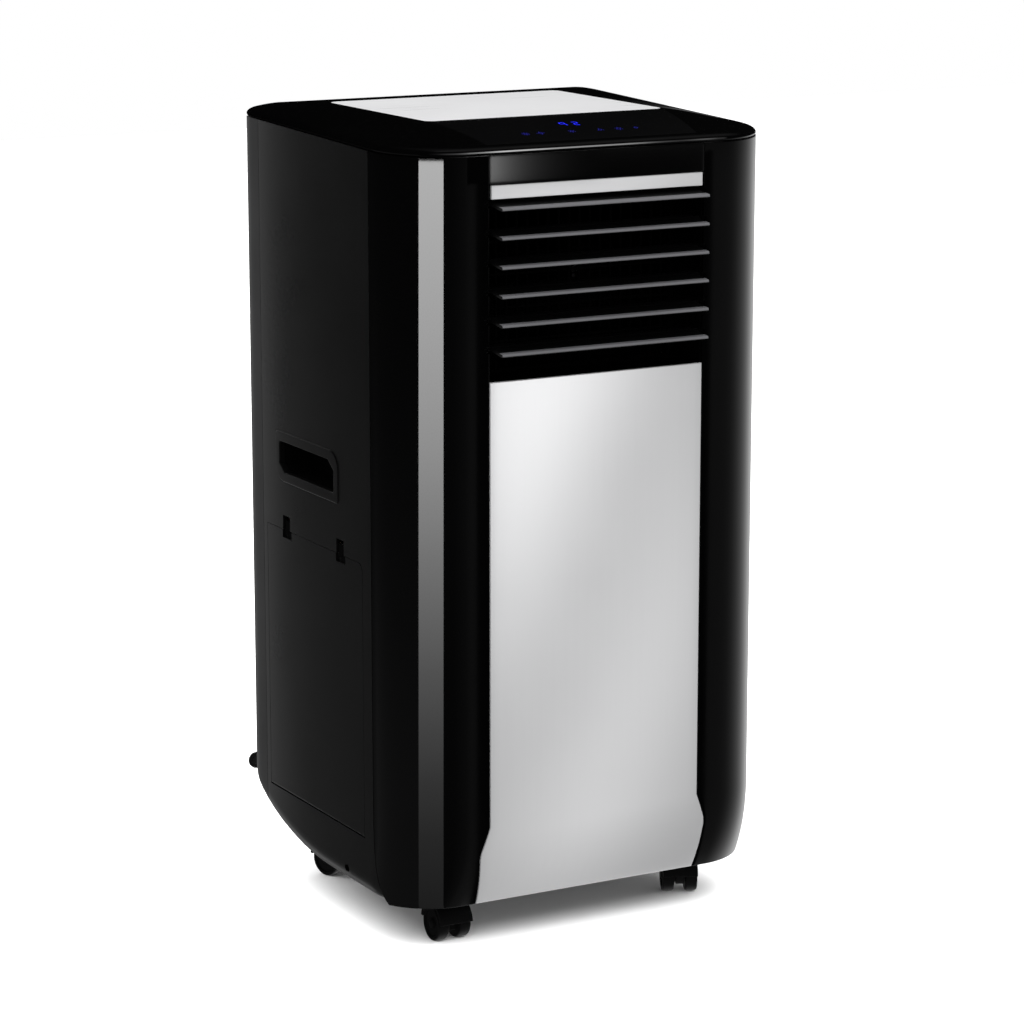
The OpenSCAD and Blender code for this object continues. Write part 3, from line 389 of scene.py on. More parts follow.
def arc(centre, radius, start, end, steps):
    """Points along an arc between two angles in degrees."""
    turns = [math.radians(start + (end - start) * i / steps) for i in range(steps + 1)]
    return [(centre[0] + radius * math.cos(t), centre[1] + radius * math.sin(t)) for t in turns]


def round_rect(a, b, corner, steps=8, centre=(0, 0)):
    """Outline of a rectangle 2a by 2b with round corners, all alike or each with its own radius."""
    points = []
    corners = corner if isinstance(corner, tuple) else (corner,) * 4
    for k, (sa, sb, r) in enumerate(zip((1, -1, -1, 1), (1, 1, -1, -1), corners)):
        points += arc((centre[0] + sa * (a - r), centre[1] + sb * (b - r)), r, 90 * k, 90 * k + 90, steps)
    return points


def baked(obj):
    """The object's modifiers, applied to its mesh."""
    dg = bpy.context.evaluated_depsgraph_get()
    mesh = bpy.data.meshes.new_from_object(obj.evaluated_get(dg), depsgraph=dg)
    obj.modifiers.clear()
    obj.data = mesh
    return obj


def cut(obj, *cutters):
    """Takes closed bmeshes that don't touch each other away from obj."""
    tool = to_object("cutter", merged(*cutters))
    mod = obj.modifiers.new("cut", "BOOLEAN")
    mod.operation = "DIFFERENCE"
    mod.solver = "EXACT"
    mod.object = tool
    baked(obj)
    bpy.data.objects.remove(tool)
    return obj


def thicken(obj, thickness):
    mod = obj.modifiers.new("wall", "SOLIDIFY")
    mod.thickness = thickness
    mod.offset = -1
    mod.use_even_offset = True
    return baked(obj)


def finish(obj, body, material, slot, replaces=(), bevel=0.6 * MM, steps=3, angle=40):
    """Rounds the edges, smooths the rest and hangs the piece on its body."""
    bm = bmesh.new()
    bm.from_mesh(obj.data)
    bmesh.ops.remove_doubles(bm, verts=bm.verts, dist=1e-6)
    bm.to_mesh(obj.data)
    bm.free()
    if bevel:
        mod = obj.modifiers.new("edge", "BEVEL")
        mod.width = bevel
        mod.segments = steps
        mod.limit_method = "ANGLE"
        mod.angle_limit = math.radians(angle)
        mod.use_clamp_overlap = True
        mod.miter_outer = "MITER_ARC"
        baked(obj)
    obj.data.shade_smooth()
    obj.data.set_sharp_from_angle(angle=math.radians(angle))
    mod = obj.modifiers.new("normals", "WEIGHTED_NORMAL")
    mod.keep_sharp = True
    mod.weight = 60
    obj.data.materials.clear()
    obj.data.materials.append(material)
    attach(obj, body)
    if replaces:
        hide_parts(*replaces)
    return obj


def refined(cad_name, body, material, slot, bevel=0.5 * MM, **options):
    """A copy of a CAD node with rounded edges, which is shown in its place."""
    obj = new_object(cad_name + "_moulded", frame["nodes"][cad_name].data.copy())
    return finish(obj, body, material, slot, [cad_name], bevel, **options)


# ------------------------------------------------------------------ the cabinet's surface
FLAT_FRONT = HALF_W - FRONT_R
CORNER_END = FLAT_FRONT + FRONT_R * math.pi / 2
SIDE_START_Y = FRONT + FRONT_R
SIDE_END = CORNER_END + (REAR - REAR_R) - SIDE_START_Y
REAR_START = SIDE_END + REAR_R * math.pi / 2
OUTLINE_END = REAR_START + HALF_W - REAR_R


def on_outline(length):
    """Point and outward normal on the left half of the outline, at a length from the front's middle."""
    if length <= FLAT_FRONT:
        return Vector((-length, FRONT)), Vector((0, -1))
    if length < CORNER_END:
        t = (length - FLAT_FRONT) / FRONT_R
        normal = Vector((-math.sin(t), -math.cos(t)))
        return Vector((-FLAT_FRONT, SIDE_START_Y)) + FRONT_R * normal, normal
    if length <= SIDE_END:
        return Vector((-HALF_W, SIDE_START_Y + length - CORNER_END)), Vector((-1, 0))
    if length < REAR_START:
        t = (length - SIDE_END) / REAR_R
        normal = Vector((-math.cos(t), math.sin(t)))
        return Vector((-HALF_W + REAR_R, REAR - REAR_R)) + REAR_R * normal, normal
    return Vector((-(HALF_W - REAR_R) + length - REAR_START, REAR)), Vector((0, 1))


def length_at(y):
    """Length along the outline at a depth on the left side, ahead of the rear corner."""
    if y >= SIDE_START_Y:
        return CORNER_END + y - SIDE_START_Y
    return FLAT_FRONT + FRONT_R * math.acos((SIDE_START_Y - y) / FRONT_R)


def tuck_y(z):
    """The front's depth at a height: it draws back along an arc near the floor."""
    if z >= TUCK_Z:
        return FRONT
    return FRONT + TUCK_R - math.sqrt(TUCK_R**2 - (TUCK_Z - z) ** 2)


def sweep_z(y):
    """Height of the lower edge at a depth: it rises along an ellipse towards the rear."""
    s = (y - (REAR - SWEEP_Y)) / SWEEP_Y
    if s <= 0:
        return UNDERSIDE
    return UNDERSIDE + SWEEP_Z * (1 - math.sqrt(max(0.0, 1 - s * s)))


def lid_z(y):
    return SEAM_FRONT_Z + (SEAM_REAR_Z - SEAM_FRONT_Z) * (y - FRONT) / DEPTH


def seam_y(z):
    """Depth of the seam between the front shell and a side panel."""
    if z >= SEAM_TUCK_Z:
        return SEAM_FRONT
    s = (SEAM_TUCK_Z - z) / (SEAM_TUCK_Z - 30 * MM)
    return SEAM_FRONT - SEAM_TUCK * (1 - math.sqrt(max(0.0, 1 - s * s)))


def panel_half(z):
    """Half width of the silver front panel at a height; it flares near its foot."""
    steps = ((20, 106), (80, 110.5), (86, 109.9), (108, 102), (700, 102))
    for (z0, x0), (z1, x1) in zip(steps, steps[1:]):
        if z <= z1 * MM:
            return MM * (x0 + (x1 - x0) * (z / MM - z0) / (z1 - z0))


def drawn_back(length, z):
    """Point of the outline at a height; near the floor the front and its corners slide back."""
    p = on_outline(length)[0]
    fade = max(0.0, min(1.0, 1 - (length - CORNER_END) / (80 * MM)))
    return Vector((p.x, p.y + (tuck_y(z) - FRONT) * fade))


def seam_length(z):
    """Length along the outline to the front shell's rear edge at a height."""
    return length_at(seam_y(z) - (tuck_y(z) - FRONT))


def spaced(a, b, n):
    return [a + (b - a) * i / n for i in range(n + 1)]


def front_heights(low_steps, top, steps):
    """Heights from the underside up, close together along the tuck and at the panel's flare."""
    return sorted(set(spaced(UNDERSIDE, TUCK_Z, low_steps) + FLARE + spaced(125 * MM, top, steps)))


def mirrored(rows, side):
    """Rows of points made for the left side, on the given side."""
    return [[Vector((p.x * -side, p.y, p.z)) for p in row] for row in rows]


# ------------------------------------------------------------------ outer shells
def front_columns():
    """The two glossy columns of the front shell, from the side seams to the centre column."""
    heights = front_heights(18, 660 * MM, 12)
    heights.append(None)  # the row along the lid's seam
    for side, name in ((-1, "left"), (1, "right")):
        rows = []
        for level in heights:
            z = level if level is not None else 0.67
            start = seam_length(z)
            lengths = spaced(start, FLAT_FRONT, 36)[:-1]
            lengths += spaced(FLAT_FRONT, 116 * MM, 2)[:-1]
            lengths += spaced(116 * MM, panel_half(z) + GAP, 3)
            row = []
            for length in lengths:
                p = drawn_back(length, z)
                row.append(Vector((p.x, p.y, z if level is not None else lid_z(p.y) - 0.3 * MM)))
            rows.append(row)
        shell = grid("front_column_" + name, mirrored(rows, side))
        thicken(shell, WALL)
        notches = []
        for i in range(BLADES):
            z = BLADE_Z0 + i * BLADE_PITCH
            x = side * (COLUMN + 1 * MM)
            notches.append(block((x - 1.6 * MM, FRONT - MM, z - 2.5 * MM),
                                 (x + 1.6 * MM, FRONT + 2 * MM, z + 2.5 * MM)))
        cut(shell, *notches)
        finish(shell, "cabinet", GLOSS_BLACK, "gloss_black", ["front_shell"], bevel=0.5 * MM)


def edge_rows(lengths_at, top_gap, steps=12):
    """Rows of a side or rear wall whose lower edge is rounded inwards; lengths_at(z) gives the columns."""
    rows = []
    for k in range(7):
        t = math.pi / 2 * k / 6
        inset = LOWER_EDGE_R * (1 - math.sin(t))
        rise = LOWER_EDGE_R * (1 - math.cos(t))
        row = []
        for length in lengths_at(UNDERSIDE + rise):
            p, n = on_outline(length)
            q = drawn_back(length, UNDERSIDE + rise) - n * inset
            row.append(Vector((q.x, q.y, sweep_z(p.y) + rise)))
        rows.append(row)
    for k in range(1, steps + 1):
        share = (k / steps) ** 1.8
        row = []
        front_z = UNDERSIDE + LOWER_EDGE_R + share * (SEAM_FRONT_Z - UNDERSIDE - LOWER_EDGE_R)
        for length in lengths_at(front_z):
            p = drawn_back(length, front_z)
            low = sweep_z(p.y) + LOWER_EDGE_R
            row.append(Vector((p.x, p.y, low + share * (lid_z(p.y) - top_gap - low))))
        rows.append(row)
    return rows


def door_opening(low, high):
    """Cutter for the filter door's opening in the left panel."""
    y0, y1, z0, z1 = DOOR_Y0 - GAP, DOOR_Y1 + GAP, DOOR_Z0 - GAP, DOOR_Z1 + GAP
    corner = arc((y0 + DOOR_R, z1 - DOOR_R), DOOR_R, 90, 180, 6)
    return prism([(y0, z0), (y1, z0), (y1, z1)] + corner, 0, low, high)


def side_panels():
    """Flat satin side panels with a rounded lower edge, handle pockets and their own openings."""
    for side, name in ((-1, "left"), (1, "right")):

        def lengths(z):
            start = seam_length(z) + GAP
            fixed = length_at(FRONT + 80 * MM)
            return spaced(start, fixed, 8)[:-1] + spaced(fixed, length_at(SEAM_REAR) - GAP / 2, 26)

        rows = edge_rows(lengths, 0.3 * MM, 16)
        panel = grid("side_panel_" + name + "_moulded", mirrored(rows, side))
        thicken(panel, WALL)
        x0, x1 = sorted((side * (HALF_W + 5 * MM), side * (HALF_W - 8 * MM)))
        pocket = round_rect(BEZEL_Y + 0.3 * MM, BEZEL_Z + 0.3 * MM, BEZEL_CORNERS,
                            centre=(HANDLE_Y, HANDLE_Z))
        cutters = [prism(pocket, 0, x0, x1)]
        foot = round_rect(4 * MM, 3 * MM, 2.9 * MM, centre=(FRONT + 116 * MM, 52 * MM))
        cutters.append(prism(foot, 0, x0, x1))
        if side < 0:
            cutters.append(door_opening(x0, x1))
            for y in LATCHES:
                cutters.append(block((x0, y - 7 * MM, 326 * MM), (x1, y + 7 * MM, 341 * MM)))
            cut(panel, *cutters[:3])
            cut(panel, *cutters[3:])
        else:
            for i in range(12):
                z = 103 * MM + i * 14 * MM
                cutters.append(prism(round_rect(75 * MM, 3 * MM, 2.9 * MM, 6, (15 * MM, z)), 0, x0, x1))
            cut(panel, *cutters)
        finish(panel, "cabinet", SATIN_BLACK, "satin_black", ["side_panel_" + name], bevel=0.7 * MM)


def rear_wall():
    """The grained rear cover round both rear corners, with its window, vents and ports."""
    start = length_at(SEAM_REAR) + GAP / 2
    half = spaced(start, SIDE_END, 3)[:-1] + spaced(SIDE_END, REAR_START, 16)[:-1]
    half += spaced(REAR_START, OUTLINE_END, 8)
    rows = []
    for row in edge_rows(lambda z: half, 0.3 * MM):
        rows.append(row + [Vector((-p.x, p.y, p.z)) for p in reversed(row[:-1])])
    cover = grid("rear_cover_moulded", rows)
    thicken(cover, WALL)
    y0, y1 = REAR - 8 * MM, REAR + 5 * MM
    window = round_rect(GRILLE_HI.x + GAP, (GRILLE_HI.z - GRILLE_LO.z) / 2 + GAP, 2 * MM, 4,
                        (0, (GRILLE_HI.z + GRILLE_LO.z) / 2))
    cutters = [prism(window, 1, y0, y1)]
    for r, x, z, steps in ((79.4, 0, 245, 128), (9.2, 150, 150, 40), (7.1, -130, 352, 40)):
        cutters.append(prism(arc((x * MM, z * MM), r * MM, 0, 360, steps)[:-1], 1, y0, y1))
    for side in (-1, 1):
        for i in range(10):
            slot = round_rect(22 * MM, 2.5 * MM, 2.4 * MM, 6, (side * 118 * MM, 192.5 * MM + i * 13 * MM))
            cutters.append(prism(slot, 1, y0, y1))
    cut(cover, *cutters)
    finish(cover, "cabinet", GRAINED_BLACK, "matte_black", ["rear_cover"], bevel=0.6 * MM)


def base_tray():
    """The tray that closes the cabinet below, with its swept rear."""
    def half_width(y):
        edge = 18 * MM
        centre = SIDE_START_Y + 18 * MM
        if y < centre:
            r = FRONT_R - 8 * MM
            return FLAT_FRONT + math.sqrt(max(0.0, r * r - (y - centre) ** 2)) - 10 * MM
        if y > REAR - REAR_R:
            return HALF_W - REAR_R + math.sqrt(max(0.0, (REAR_R - edge) ** 2 - (y - REAR + REAR_R) ** 2))
        return HALF_W - edge

    rise = 20 * MM
    low = UNDERSIDE + 0.5 * MM
    profile = [Vector((tuck_y(z) + 6 * MM, z)) for z in spaced(70 * MM, low, 8)]
    profile += [Vector((y, low)) for y in spaced(profile[-1].x, REAR - SWEEP_Y, 8)[1:]]
    for i in range(1, 17):
        t = math.radians(80 * i / 16)
        profile.append(Vector((REAR - SWEEP_Y + SWEEP_Y * math.sin(t), low + SWEEP_Z * (1 - math.cos(t)))))
    profile.append(Vector((REAR - 3.6 * MM, 105 * MM)))
    profile.append(Vector((REAR - 3.6 * MM, 114 * MM)))
    rows = []
    for p in profile:
        w = half_width(min(p.x, REAR - 14 * MM))
        row = [(-w - MM, rise), (-w, 5 * MM)] + [(w * s, 0) for s in spaced(-1, 1, 16)]
        row += [(w, 5 * MM), (w + MM, rise)]
        rows.append([Vector((x, p.x, p.y + up)) for x, up in row])
    tray = grid("base_tray_moulded", rows, inside=Vector((0, 0, 0.3)))
    thicken(tray, 2.5 * MM)
    finish(tray, "cabinet", GRAINED_BLACK, "matte_black", ["base_tray"], bevel=0.8 * MM)


# ------------------------------------------------------------------ lid
PLATE_R = 8 * MM
RIM = 24 * MM


def rim_rise(d):
    """Height above the seam at a distance in from the lid's outline."""
    near = min(d, 5 * MM) / (5 * MM)
    far = min(d, RIM) / RIM
    return 2.2 * MM + 2.6 * MM * math.sqrt(1 - (1 - near) ** 2) + 5.6 * MM * far * (1.35 - 0.35 * far)


def inset_distance(x, y):
    """Distance of a point in from the lid's outline."""
    ax = abs(x)
    r = FRONT_R if y < 0 else REAR_R
    cx, cy = HALF_W - r, (SIDE_START_Y if y < 0 else REAR - REAR_R)
    beyond = (cy - y) if y < 0 else (y - cy)
    if ax > cx and beyond > 0:
        return r - math.hypot(ax - cx, beyond)
    return min(HALF_W - ax, y - FRONT, REAR - y)


def plate_distance(x, y):
    """Distance of a point outside the top plate's outline."""
    dx = max(abs(x) - (PLATE_HI.x - PLATE_R), 0.0)
    dy = max(abs(y - PLATE_Y) - (PLATE_HALF - PLATE_R), 0.0)
    return max(math.hypot(dx, dy) - PLATE_R, 0.0)


def lid_height(x, y):
    """The lid's smooth dome, from its rim up to the flat plate."""
    d = inset_distance(x, y)
    if d <= RIM:
        return lid_z(y) + rim_rise(max(d, 0.0))
    p = plate_distance(x, y)
    u = p / (p + d - RIM)
    share = u * (0.75 + 0.25 * u)
    return TOP * (1 - share) + (lid_z(y) + rim_rise(RIM)) * share


def lid_ring(inset, steps):
    """Points along the lid's outline, set in by a distance."""
    left = [on_outline(length) for length in steps]
    ring = [p - n * inset for p, n in left]
    return ring + [Vector((-q.x, q.y)) for q in reversed(ring[1:-1])]


def nearest_on_plate(q, grow):
    """Point of the plate's outline nearest to q."""
    ax, ay = PLATE_HI.x - PLATE_R, PLATE_HALF - PLATE_R
    core = Vector((max(-ax, min(ax, q.x)), PLATE_Y + max(-ay, min(ay, q.y - PLATE_Y))))
    out = q - core
    if out.length < 1e-9:
        out = Vector((0, 1))
    return core + out.normalized() * (PLATE_R + grow)


def lifted(points, height):
    """Points of a plan, each raised to its height(x, y)."""
    return [Vector((q.x, q.y, height(q.x, q.y))) for q in points]


def lid():
    steps = spaced(0, FLAT_FRONT, 14)[:-1] + spaced(FLAT_FRONT, CORNER_END, 28)[:-1]
    steps += spaced(CORNER_END, SIDE_END, 22)[:-1] + spaced(SIDE_END, REAR_START, 18)[:-1]
    steps += spaced(REAR_START, OUTLINE_END, 16)
    rows = []
    for inset, rise in ((4.0, -4.0), (4.0, 0.4), (1.2, 0.4), (0.5, 0.7), (0.1, 1.3)):
        rows.append(lifted(lid_ring(inset * MM, steps), lambda x, y: lid_z(y) + rise * MM))
    for inset in (0, 0.3, 0.8, 1.6, 2.8, 4.2, 6, 9, 12.5, 16, 20, 24):
        rows.append(lifted(lid_ring(inset * MM, steps), lid_height))
    outer = lid_ring(RIM, steps)
    inner = [nearest_on_plate(q, 0.25 * MM) for q in outer]
    for k in range(1, 15):
        rows.append(lifted([q.lerp(p, k / 14) for q, p in zip(outer, inner)], lid_height))
    for ring in (inner, [nearest_on_plate(q, -6 * MM) for q in outer]):
        rows.append(lifted(ring, lambda x, y: TOP - 2.4 * MM))
    cover = grid("lid", rows, closed=True, inside=Vector((0, 0, 0.3)))
    thicken(cover, 2.2 * MM)
    cut(cover, glass_body(0.25 * MM, -1.4 * MM, 4 * MM))
    finish(cover, "cabinet", GLOSS_BLACK, "gloss_black", ["top_cover"], bevel=0.25 * MM, steps=2, angle=50)


GLASS_Y0 = FRONT + 9 * MM
GLASS_Y1 = PLATE_LO.y - 4 * MM


def glass_body(grow, low, high):
    """The control glass as a closed sheet over the dome, between two offsets from its surface."""
    bm = bmesh.new()
    n, m = 40, 14
    layers = []
    for offset in (low, high):
        layer = []
        for j in range(m + 1):
            y = GLASS_Y0 - grow + (GLASS_Y1 - GLASS_Y0 + 2 * grow) * j / m
            half = (100 + 12 * (y - GLASS_Y0) / (GLASS_Y1 - GLASS_Y0)) * MM + grow
            layer.append([bm.verts.new((x, y, lid_height(x, y) + offset)) for x in spaced(-half, half, n)])
        layers.append(layer)
    for layer in layers:
        for j in range(m):
            for i in range(n):
                bm.faces.new((layer[j][i], layer[j][i + 1], layer[j + 1][i + 1], layer[j + 1][i]))
    rims = []
    for layer in layers:
        right, left = [row[-1] for row in layer[1:]], [row[0] for row in layer[-2:0:-1]]
        rims.append(layer[0] + right + layer[-1][-2::-1] + left)
    for i in range(len(rims[0])):
        j = (i + 1) % len(rims[0])
        bm.faces.new((rims[0][i], rims[0][j], rims[1][j], rims[1][i]))
    bmesh.ops.recalc_face_normals(bm, faces=bm.faces)
    return bm


def control_glass():
    glass = to_object("control_glass_pane", glass_body(0, -1.3 * MM, 0.03 * MM))
    finish(glass, "cabinet", GLASS_BLACK, "glass_black", ["control_glass"], bevel=0.25 * MM, steps=2,
           angle=50)


def top_plate():
    outline = round_rect(PLATE_HI.x, PLATE_HALF, PLATE_R, 10, (0, PLATE_Y))
    plate = to_object("top_plate_panel", prism(outline, 2, PLATE_LO.z, PLATE_HI.z))
    finish(plate, "cabinet", PLATE_SILVER, "silver", ["top_plate"], bevel=0.4 * MM)


def bar(x0, x1, y0, y1):
    return block((x0 * MM, y0 * MM, 0), (x1 * MM, y1 * MM, 0.12 * MM))


def digit(segments):
    """A seven-segment digit about 4.5 by 9 mm, drawn flat with its foot towards the front."""
    w, h, t = 2.2, 4.5, 0.9
    shapes = {
        "a": (-w + t / 2, w - t / 2, h - t / 2, h + t / 2), "g": (-w + t / 2, w - t / 2, -t / 2, t / 2),
        "d": (-w + t / 2, w - t / 2, -h - t / 2, -h + t / 2),
              "f": (-w - t / 2, -w + t / 2, t / 2, h - t / 2),
        "b": (w - t / 2, w + t / 2, t / 2, h - t / 2), "e": (-w - t / 2, -w + t / 2, -h + t / 2, -t / 2),
        "c": (w - t / 2, w + t / 2, -h + t / 2, -t / 2)}
    return merged(*[bar(*shapes[s]) for s in segments])


def ring_sign(r, teeth):
    """A small touch symbol: a ring with ticks round it."""
    parts = [lathe([(r - 0.35, 0), (r + 0.35, 0), (r + 0.35, 0.12), (r - 0.35, 0.12), (r - 0.35, 0)], 24)]
    parts[0].transform(Matrix.Scale(MM, 4))
    for i in range(teeth):
        parts.append(placed(bar(-0.3, 0.3, r + 0.9, r + 2), turn=2 * math.pi * i / teeth))
    return merged(*parts)


def display():
    """Lit digits and touch symbols that shine through the control glass."""
    digits = [(-5.4, 50, digit("afgbc")), (6.6, 50, digit("abged"))]
    signs = [(-52.6, 29, ring_sign(1.5, 8)), (-38.5, 29, ring_sign(1.7, 4)), (-9, 29, ring_sign(1.3, 6)),
             (18.1, 29, ring_sign(1.5, 3)), (36, 29, ring_sign(1.7, 6)), (52.6, 29, ring_sign(1.5, 0))]
    for name, marks, material in (("display_digits", digits, BLUE_LED), ("display_signs", signs, DIM_LED)):
        parts = []
        for x, y, bm in marks:
            x, y = x * MM, FRONT + y * MM
            slope = (lid_height(x, y + MM) - lid_height(x, y - MM)) / (2 * MM)
            place = Matrix.Translation((x, y, lid_height(x, y) - 0.02 * MM))
            bm.transform(place @ Matrix.Rotation(math.atan(slope), 4, "X"))
            parts.append(bm)
        finish(to_object(name, merged(*parts)), "cabinet", material, "glass_black", bevel=0)


# ------------------------------------------------------------------ centre column
def front_panel():
    """The silver sheet from the louvres to the foot, drawn back along the tuck."""
    rows = []
    for z in front_heights(20, PANEL_TOP, 10):
        half = panel_half(z)
        rows.append([Vector((half * s, tuck_y(z), z)) for s in spaced(-1, 1, 24)])
    panel = grid("front_panel_sheet", rows)
    thicken(panel, 2.8 * MM)
    finish(panel, "cabinet", SILVER, "silver", ["front_panel"], bevel=0.8 * MM, angle=50)


def trim():
    outline = round_rect(COLUMN - 1.5 * MM, (STRIP_HI.z - STRIP_LO.z) / 2, 0.8 * MM, 4,
                         (0, (STRIP_LO.z + STRIP_HI.z) / 2))
    strip = to_object("trim_bar", prism(outline, 1, STRIP_LO.y, STRIP_HI.y))
    finish(strip, "cabinet", SILVER, "silver", ["trim_strip"], bevel=0.5 * MM)


def bow(x):
    """How far the band over the louvres bows back at a place across, and its slope there."""
    s = min(1.0, (x + COLUMN) / BOW_LENGTH)
    return BOW * (1 - s) ** 2.4, -2.4 * BOW / BOW_LENGTH * (1 - s) ** 1.4


def front_band():
    """The glossy band over the louvres, which bows back a little at its left end."""
    z0, top = STRIP_HI.z + GAP, SEAM_FRONT_Z - 0.3 * MM
    xs = spaced(-COLUMN + 0.3 * MM, COLUMN - 0.3 * MM, 60)
    rows = []
    for k in range(9):
        row = []
        for x in xs:
            row.append(Vector((x, STRIP_LO.y + bow(x)[0], z0 + (top - z0) * k / 8)))
        rows.append(row)
    band = grid("front_band_moulded", rows)
    thicken(band, 1.6 * MM)
    finish(band, "cabinet", BAND_BLACK, "gloss_black", ["front_band"], bevel=0.5 * MM)


def blades():
    """Louvre blades with a rounded lip, stub pins and a painted highlight: a lighter strip along the lip
    that stands in for the light catching the blades' front edges.
    """
    # strip is the width of the painted highlight along each lip
    lip, tail, strip = 24 * MM, 8 * MM, 5.5 * MM
    nose = (-lip + 1.3 * MM, 0)
    x0, x1 = -COLUMN + 3 * MM, COLUMN - 3.5 * MM
    for i in range(BLADES):
        z = BLADE_Z0 + i * BLADE_PITCH
        body = "louvre_%d" % (i + 1)
        place = Matrix.Translation((0, PIVOT_Y, z)) @ Matrix.Rotation(BLADE_TILT, 4, "X")
        profile = arc(nose, 1.3 * MM, -90, -270, 12)
        profile += [(-lip + strip + MM, 1.3 * MM), (-lip + strip + 2 * MM, 0.9 * MM),
                    (tail - 2 * MM, 0.9 * MM)]
        profile += [(y, 0.9 * up) for y, up in arc((tail - MM, 0), MM, 90, -90, 6)]
        profile += [(-4 * MM, -1.0 * MM), (-lip + 5 * MM, -1.2 * MM)]
        bm = prism(profile, 0, x0, x1)
        bm.transform(place)
        pins = [turned([(0, 0), (1.8, 0), (2, 0.2), (2, 7.5), (0, 7.5)],
                       (side * (COLUMN + 3 * MM), PIVOT_Y, z),
                       (-side, 0, 0), 24) for side in (-1, 1)]
        obj = to_object(body + "_moulded", merged(bm, *pins))
        finish(obj, body, BLADE_BLACK, "satin_black", bevel=0.3 * MM, steps=2, angle=50)
        # A cap over the lip in the lighter grey: the painted highlight
        edge = arc(nose, 1.5 * MM, 200, 90, 8)
        edge += [(-lip + strip, 1.5 * MM), (-lip + strip + 0.8 * MM, 1.25 * MM)]
        edge += [(nose[0], 1.2 * MM), (-lip + 0.3 * MM, 0.2 * MM)]
        cap = prism(edge, 0, x0 + 0.3 * MM, x1 - 0.3 * MM)
        cap.transform(place)
        obj = to_object(body + "_lip", cap)
        finish(obj, body, LIP_PAINTED_HIGHLIGHT, "satin_black", bevel=0.12 * MM, steps=2, angle=50)


# ------------------------------------------------------------------ handles, door, rear
def ring_points(outline, count):
    """An outline resampled to `count` points, equally spaced along it."""
    pts = [Vector(p) for p in outline] + [Vector(outline[0])]
    lengths = [0.0]
    for a, b in zip(pts, pts[1:]):
        lengths.append(lengths[-1] + (b - a).length)
    out, k = [], 0
    for i in range(count):
        at = lengths[-1] * i / count
        while lengths[k + 1] < at:
            k += 1
        out.append(pts[k].lerp(pts[k + 1], (at - lengths[k]) / max(lengths[k + 1] - lengths[k], 1e-9)))
    return out


def corner_outline(half_y, half_z, corners):
    """Outline with a straight cut or a small round at each corner, begun at the middle of its +Y side."""
    points = [(half_y, 0.0)]
    signs = ((1, 1), (-1, 1), (-1, -1), (1, -1))
    for (sy, sz), (cut_y, cut_z) in zip(signs, corners):
        first = (sy * half_y, sz * (half_z - cut_z))
        second = (sy * (half_y - cut_y), sz * half_z)
        points += [first, second] if sy * sz > 0 else [second, first]
    return points


def handles():
    """Grip recesses: a wide rounded bezel round a dark cup with two cut corners."""
    long_cut, short_cut = (11 * MM, 8 * MM), (2 * MM, 2 * MM)
    for side, name in ((-1, "left"), (1, "right")):

        def ring(outline, depth):
            pts = ring_points(outline, 240)
            return [Vector((side * (HALF_W - depth * MM), HANDLE_Y + p.x, HANDLE_Z + p.y)) for p in pts]

        def rim(inset, depth):
            corners = tuple(c - inset for c in BEZEL_CORNERS)
            outline = round_rect(BEZEL_Y - inset, BEZEL_Z - inset, corners, 8)
            return ring([(BEZEL_Y - inset, 0.0)] + outline, depth)

        def opening(grow, depth):
            return ring(corner_outline(GRIP_Y + grow, GRIP_Z + grow, cuts), depth)

        # The cuts are at the rear's foot and at the front's top
        cuts = (short_cut, long_cut, short_cut, long_cut)
        bezel = [rim(0, 4), rim(0, 0.6)]
        for t in (25, 50, 75, 90):
            a = math.radians(t)
            d = 1.2 * MM * (1 - math.cos(a))
            bezel.append(rim(d, 0.6 - 1.2 * math.sin(a)))
        for grow, depth in ((1.0, -0.6), (0.5, -0.45), (0.1, 0.1), (0, 0.8), (0, 4.6)):
            bezel.append(opening(grow * MM, depth))
        obj = grid("handle_%s_bezel" % name, bezel, closed=True, inside=Vector((0, HANDLE_Y, HANDLE_Z)))
        thicken(obj, 1.2 * MM)
        finish(obj, "cabinet", SATIN_BLACK, "satin_black", ["handle_" + name], bevel=0, angle=35)
        cup = []
        for shrink, depth in ((-0.3, 4), (0.3, 14), (1.0, 24), (2.2, 26.4), (5.5, CUP_DEPTH)):
            cup.append(opening(-shrink * MM, depth))
        cup.append([Vector((side * (HALF_W - CUP_DEPTH * MM), HANDLE_Y, HANDLE_Z))] * len(cup[0]))
        obj = grid("handle_%s_cup" % name, cup, closed=True,
                   inside=Vector((-side * 0.3, HANDLE_Y, HANDLE_Z)))
        thicken(obj, 1.2 * MM)
        finish(obj, "cabinet", DEEP_BLACK, "satin_black", bevel=0, angle=35)


def rear_piece(name, bm):
    """Hangs a turned piece on the cabinet's rear in place of its CAD node."""
    finish(to_object(name + "_moulded", bm), "cabinet", GRAINED_BLACK, "matte_black", [name], bevel=0,
           angle=35)


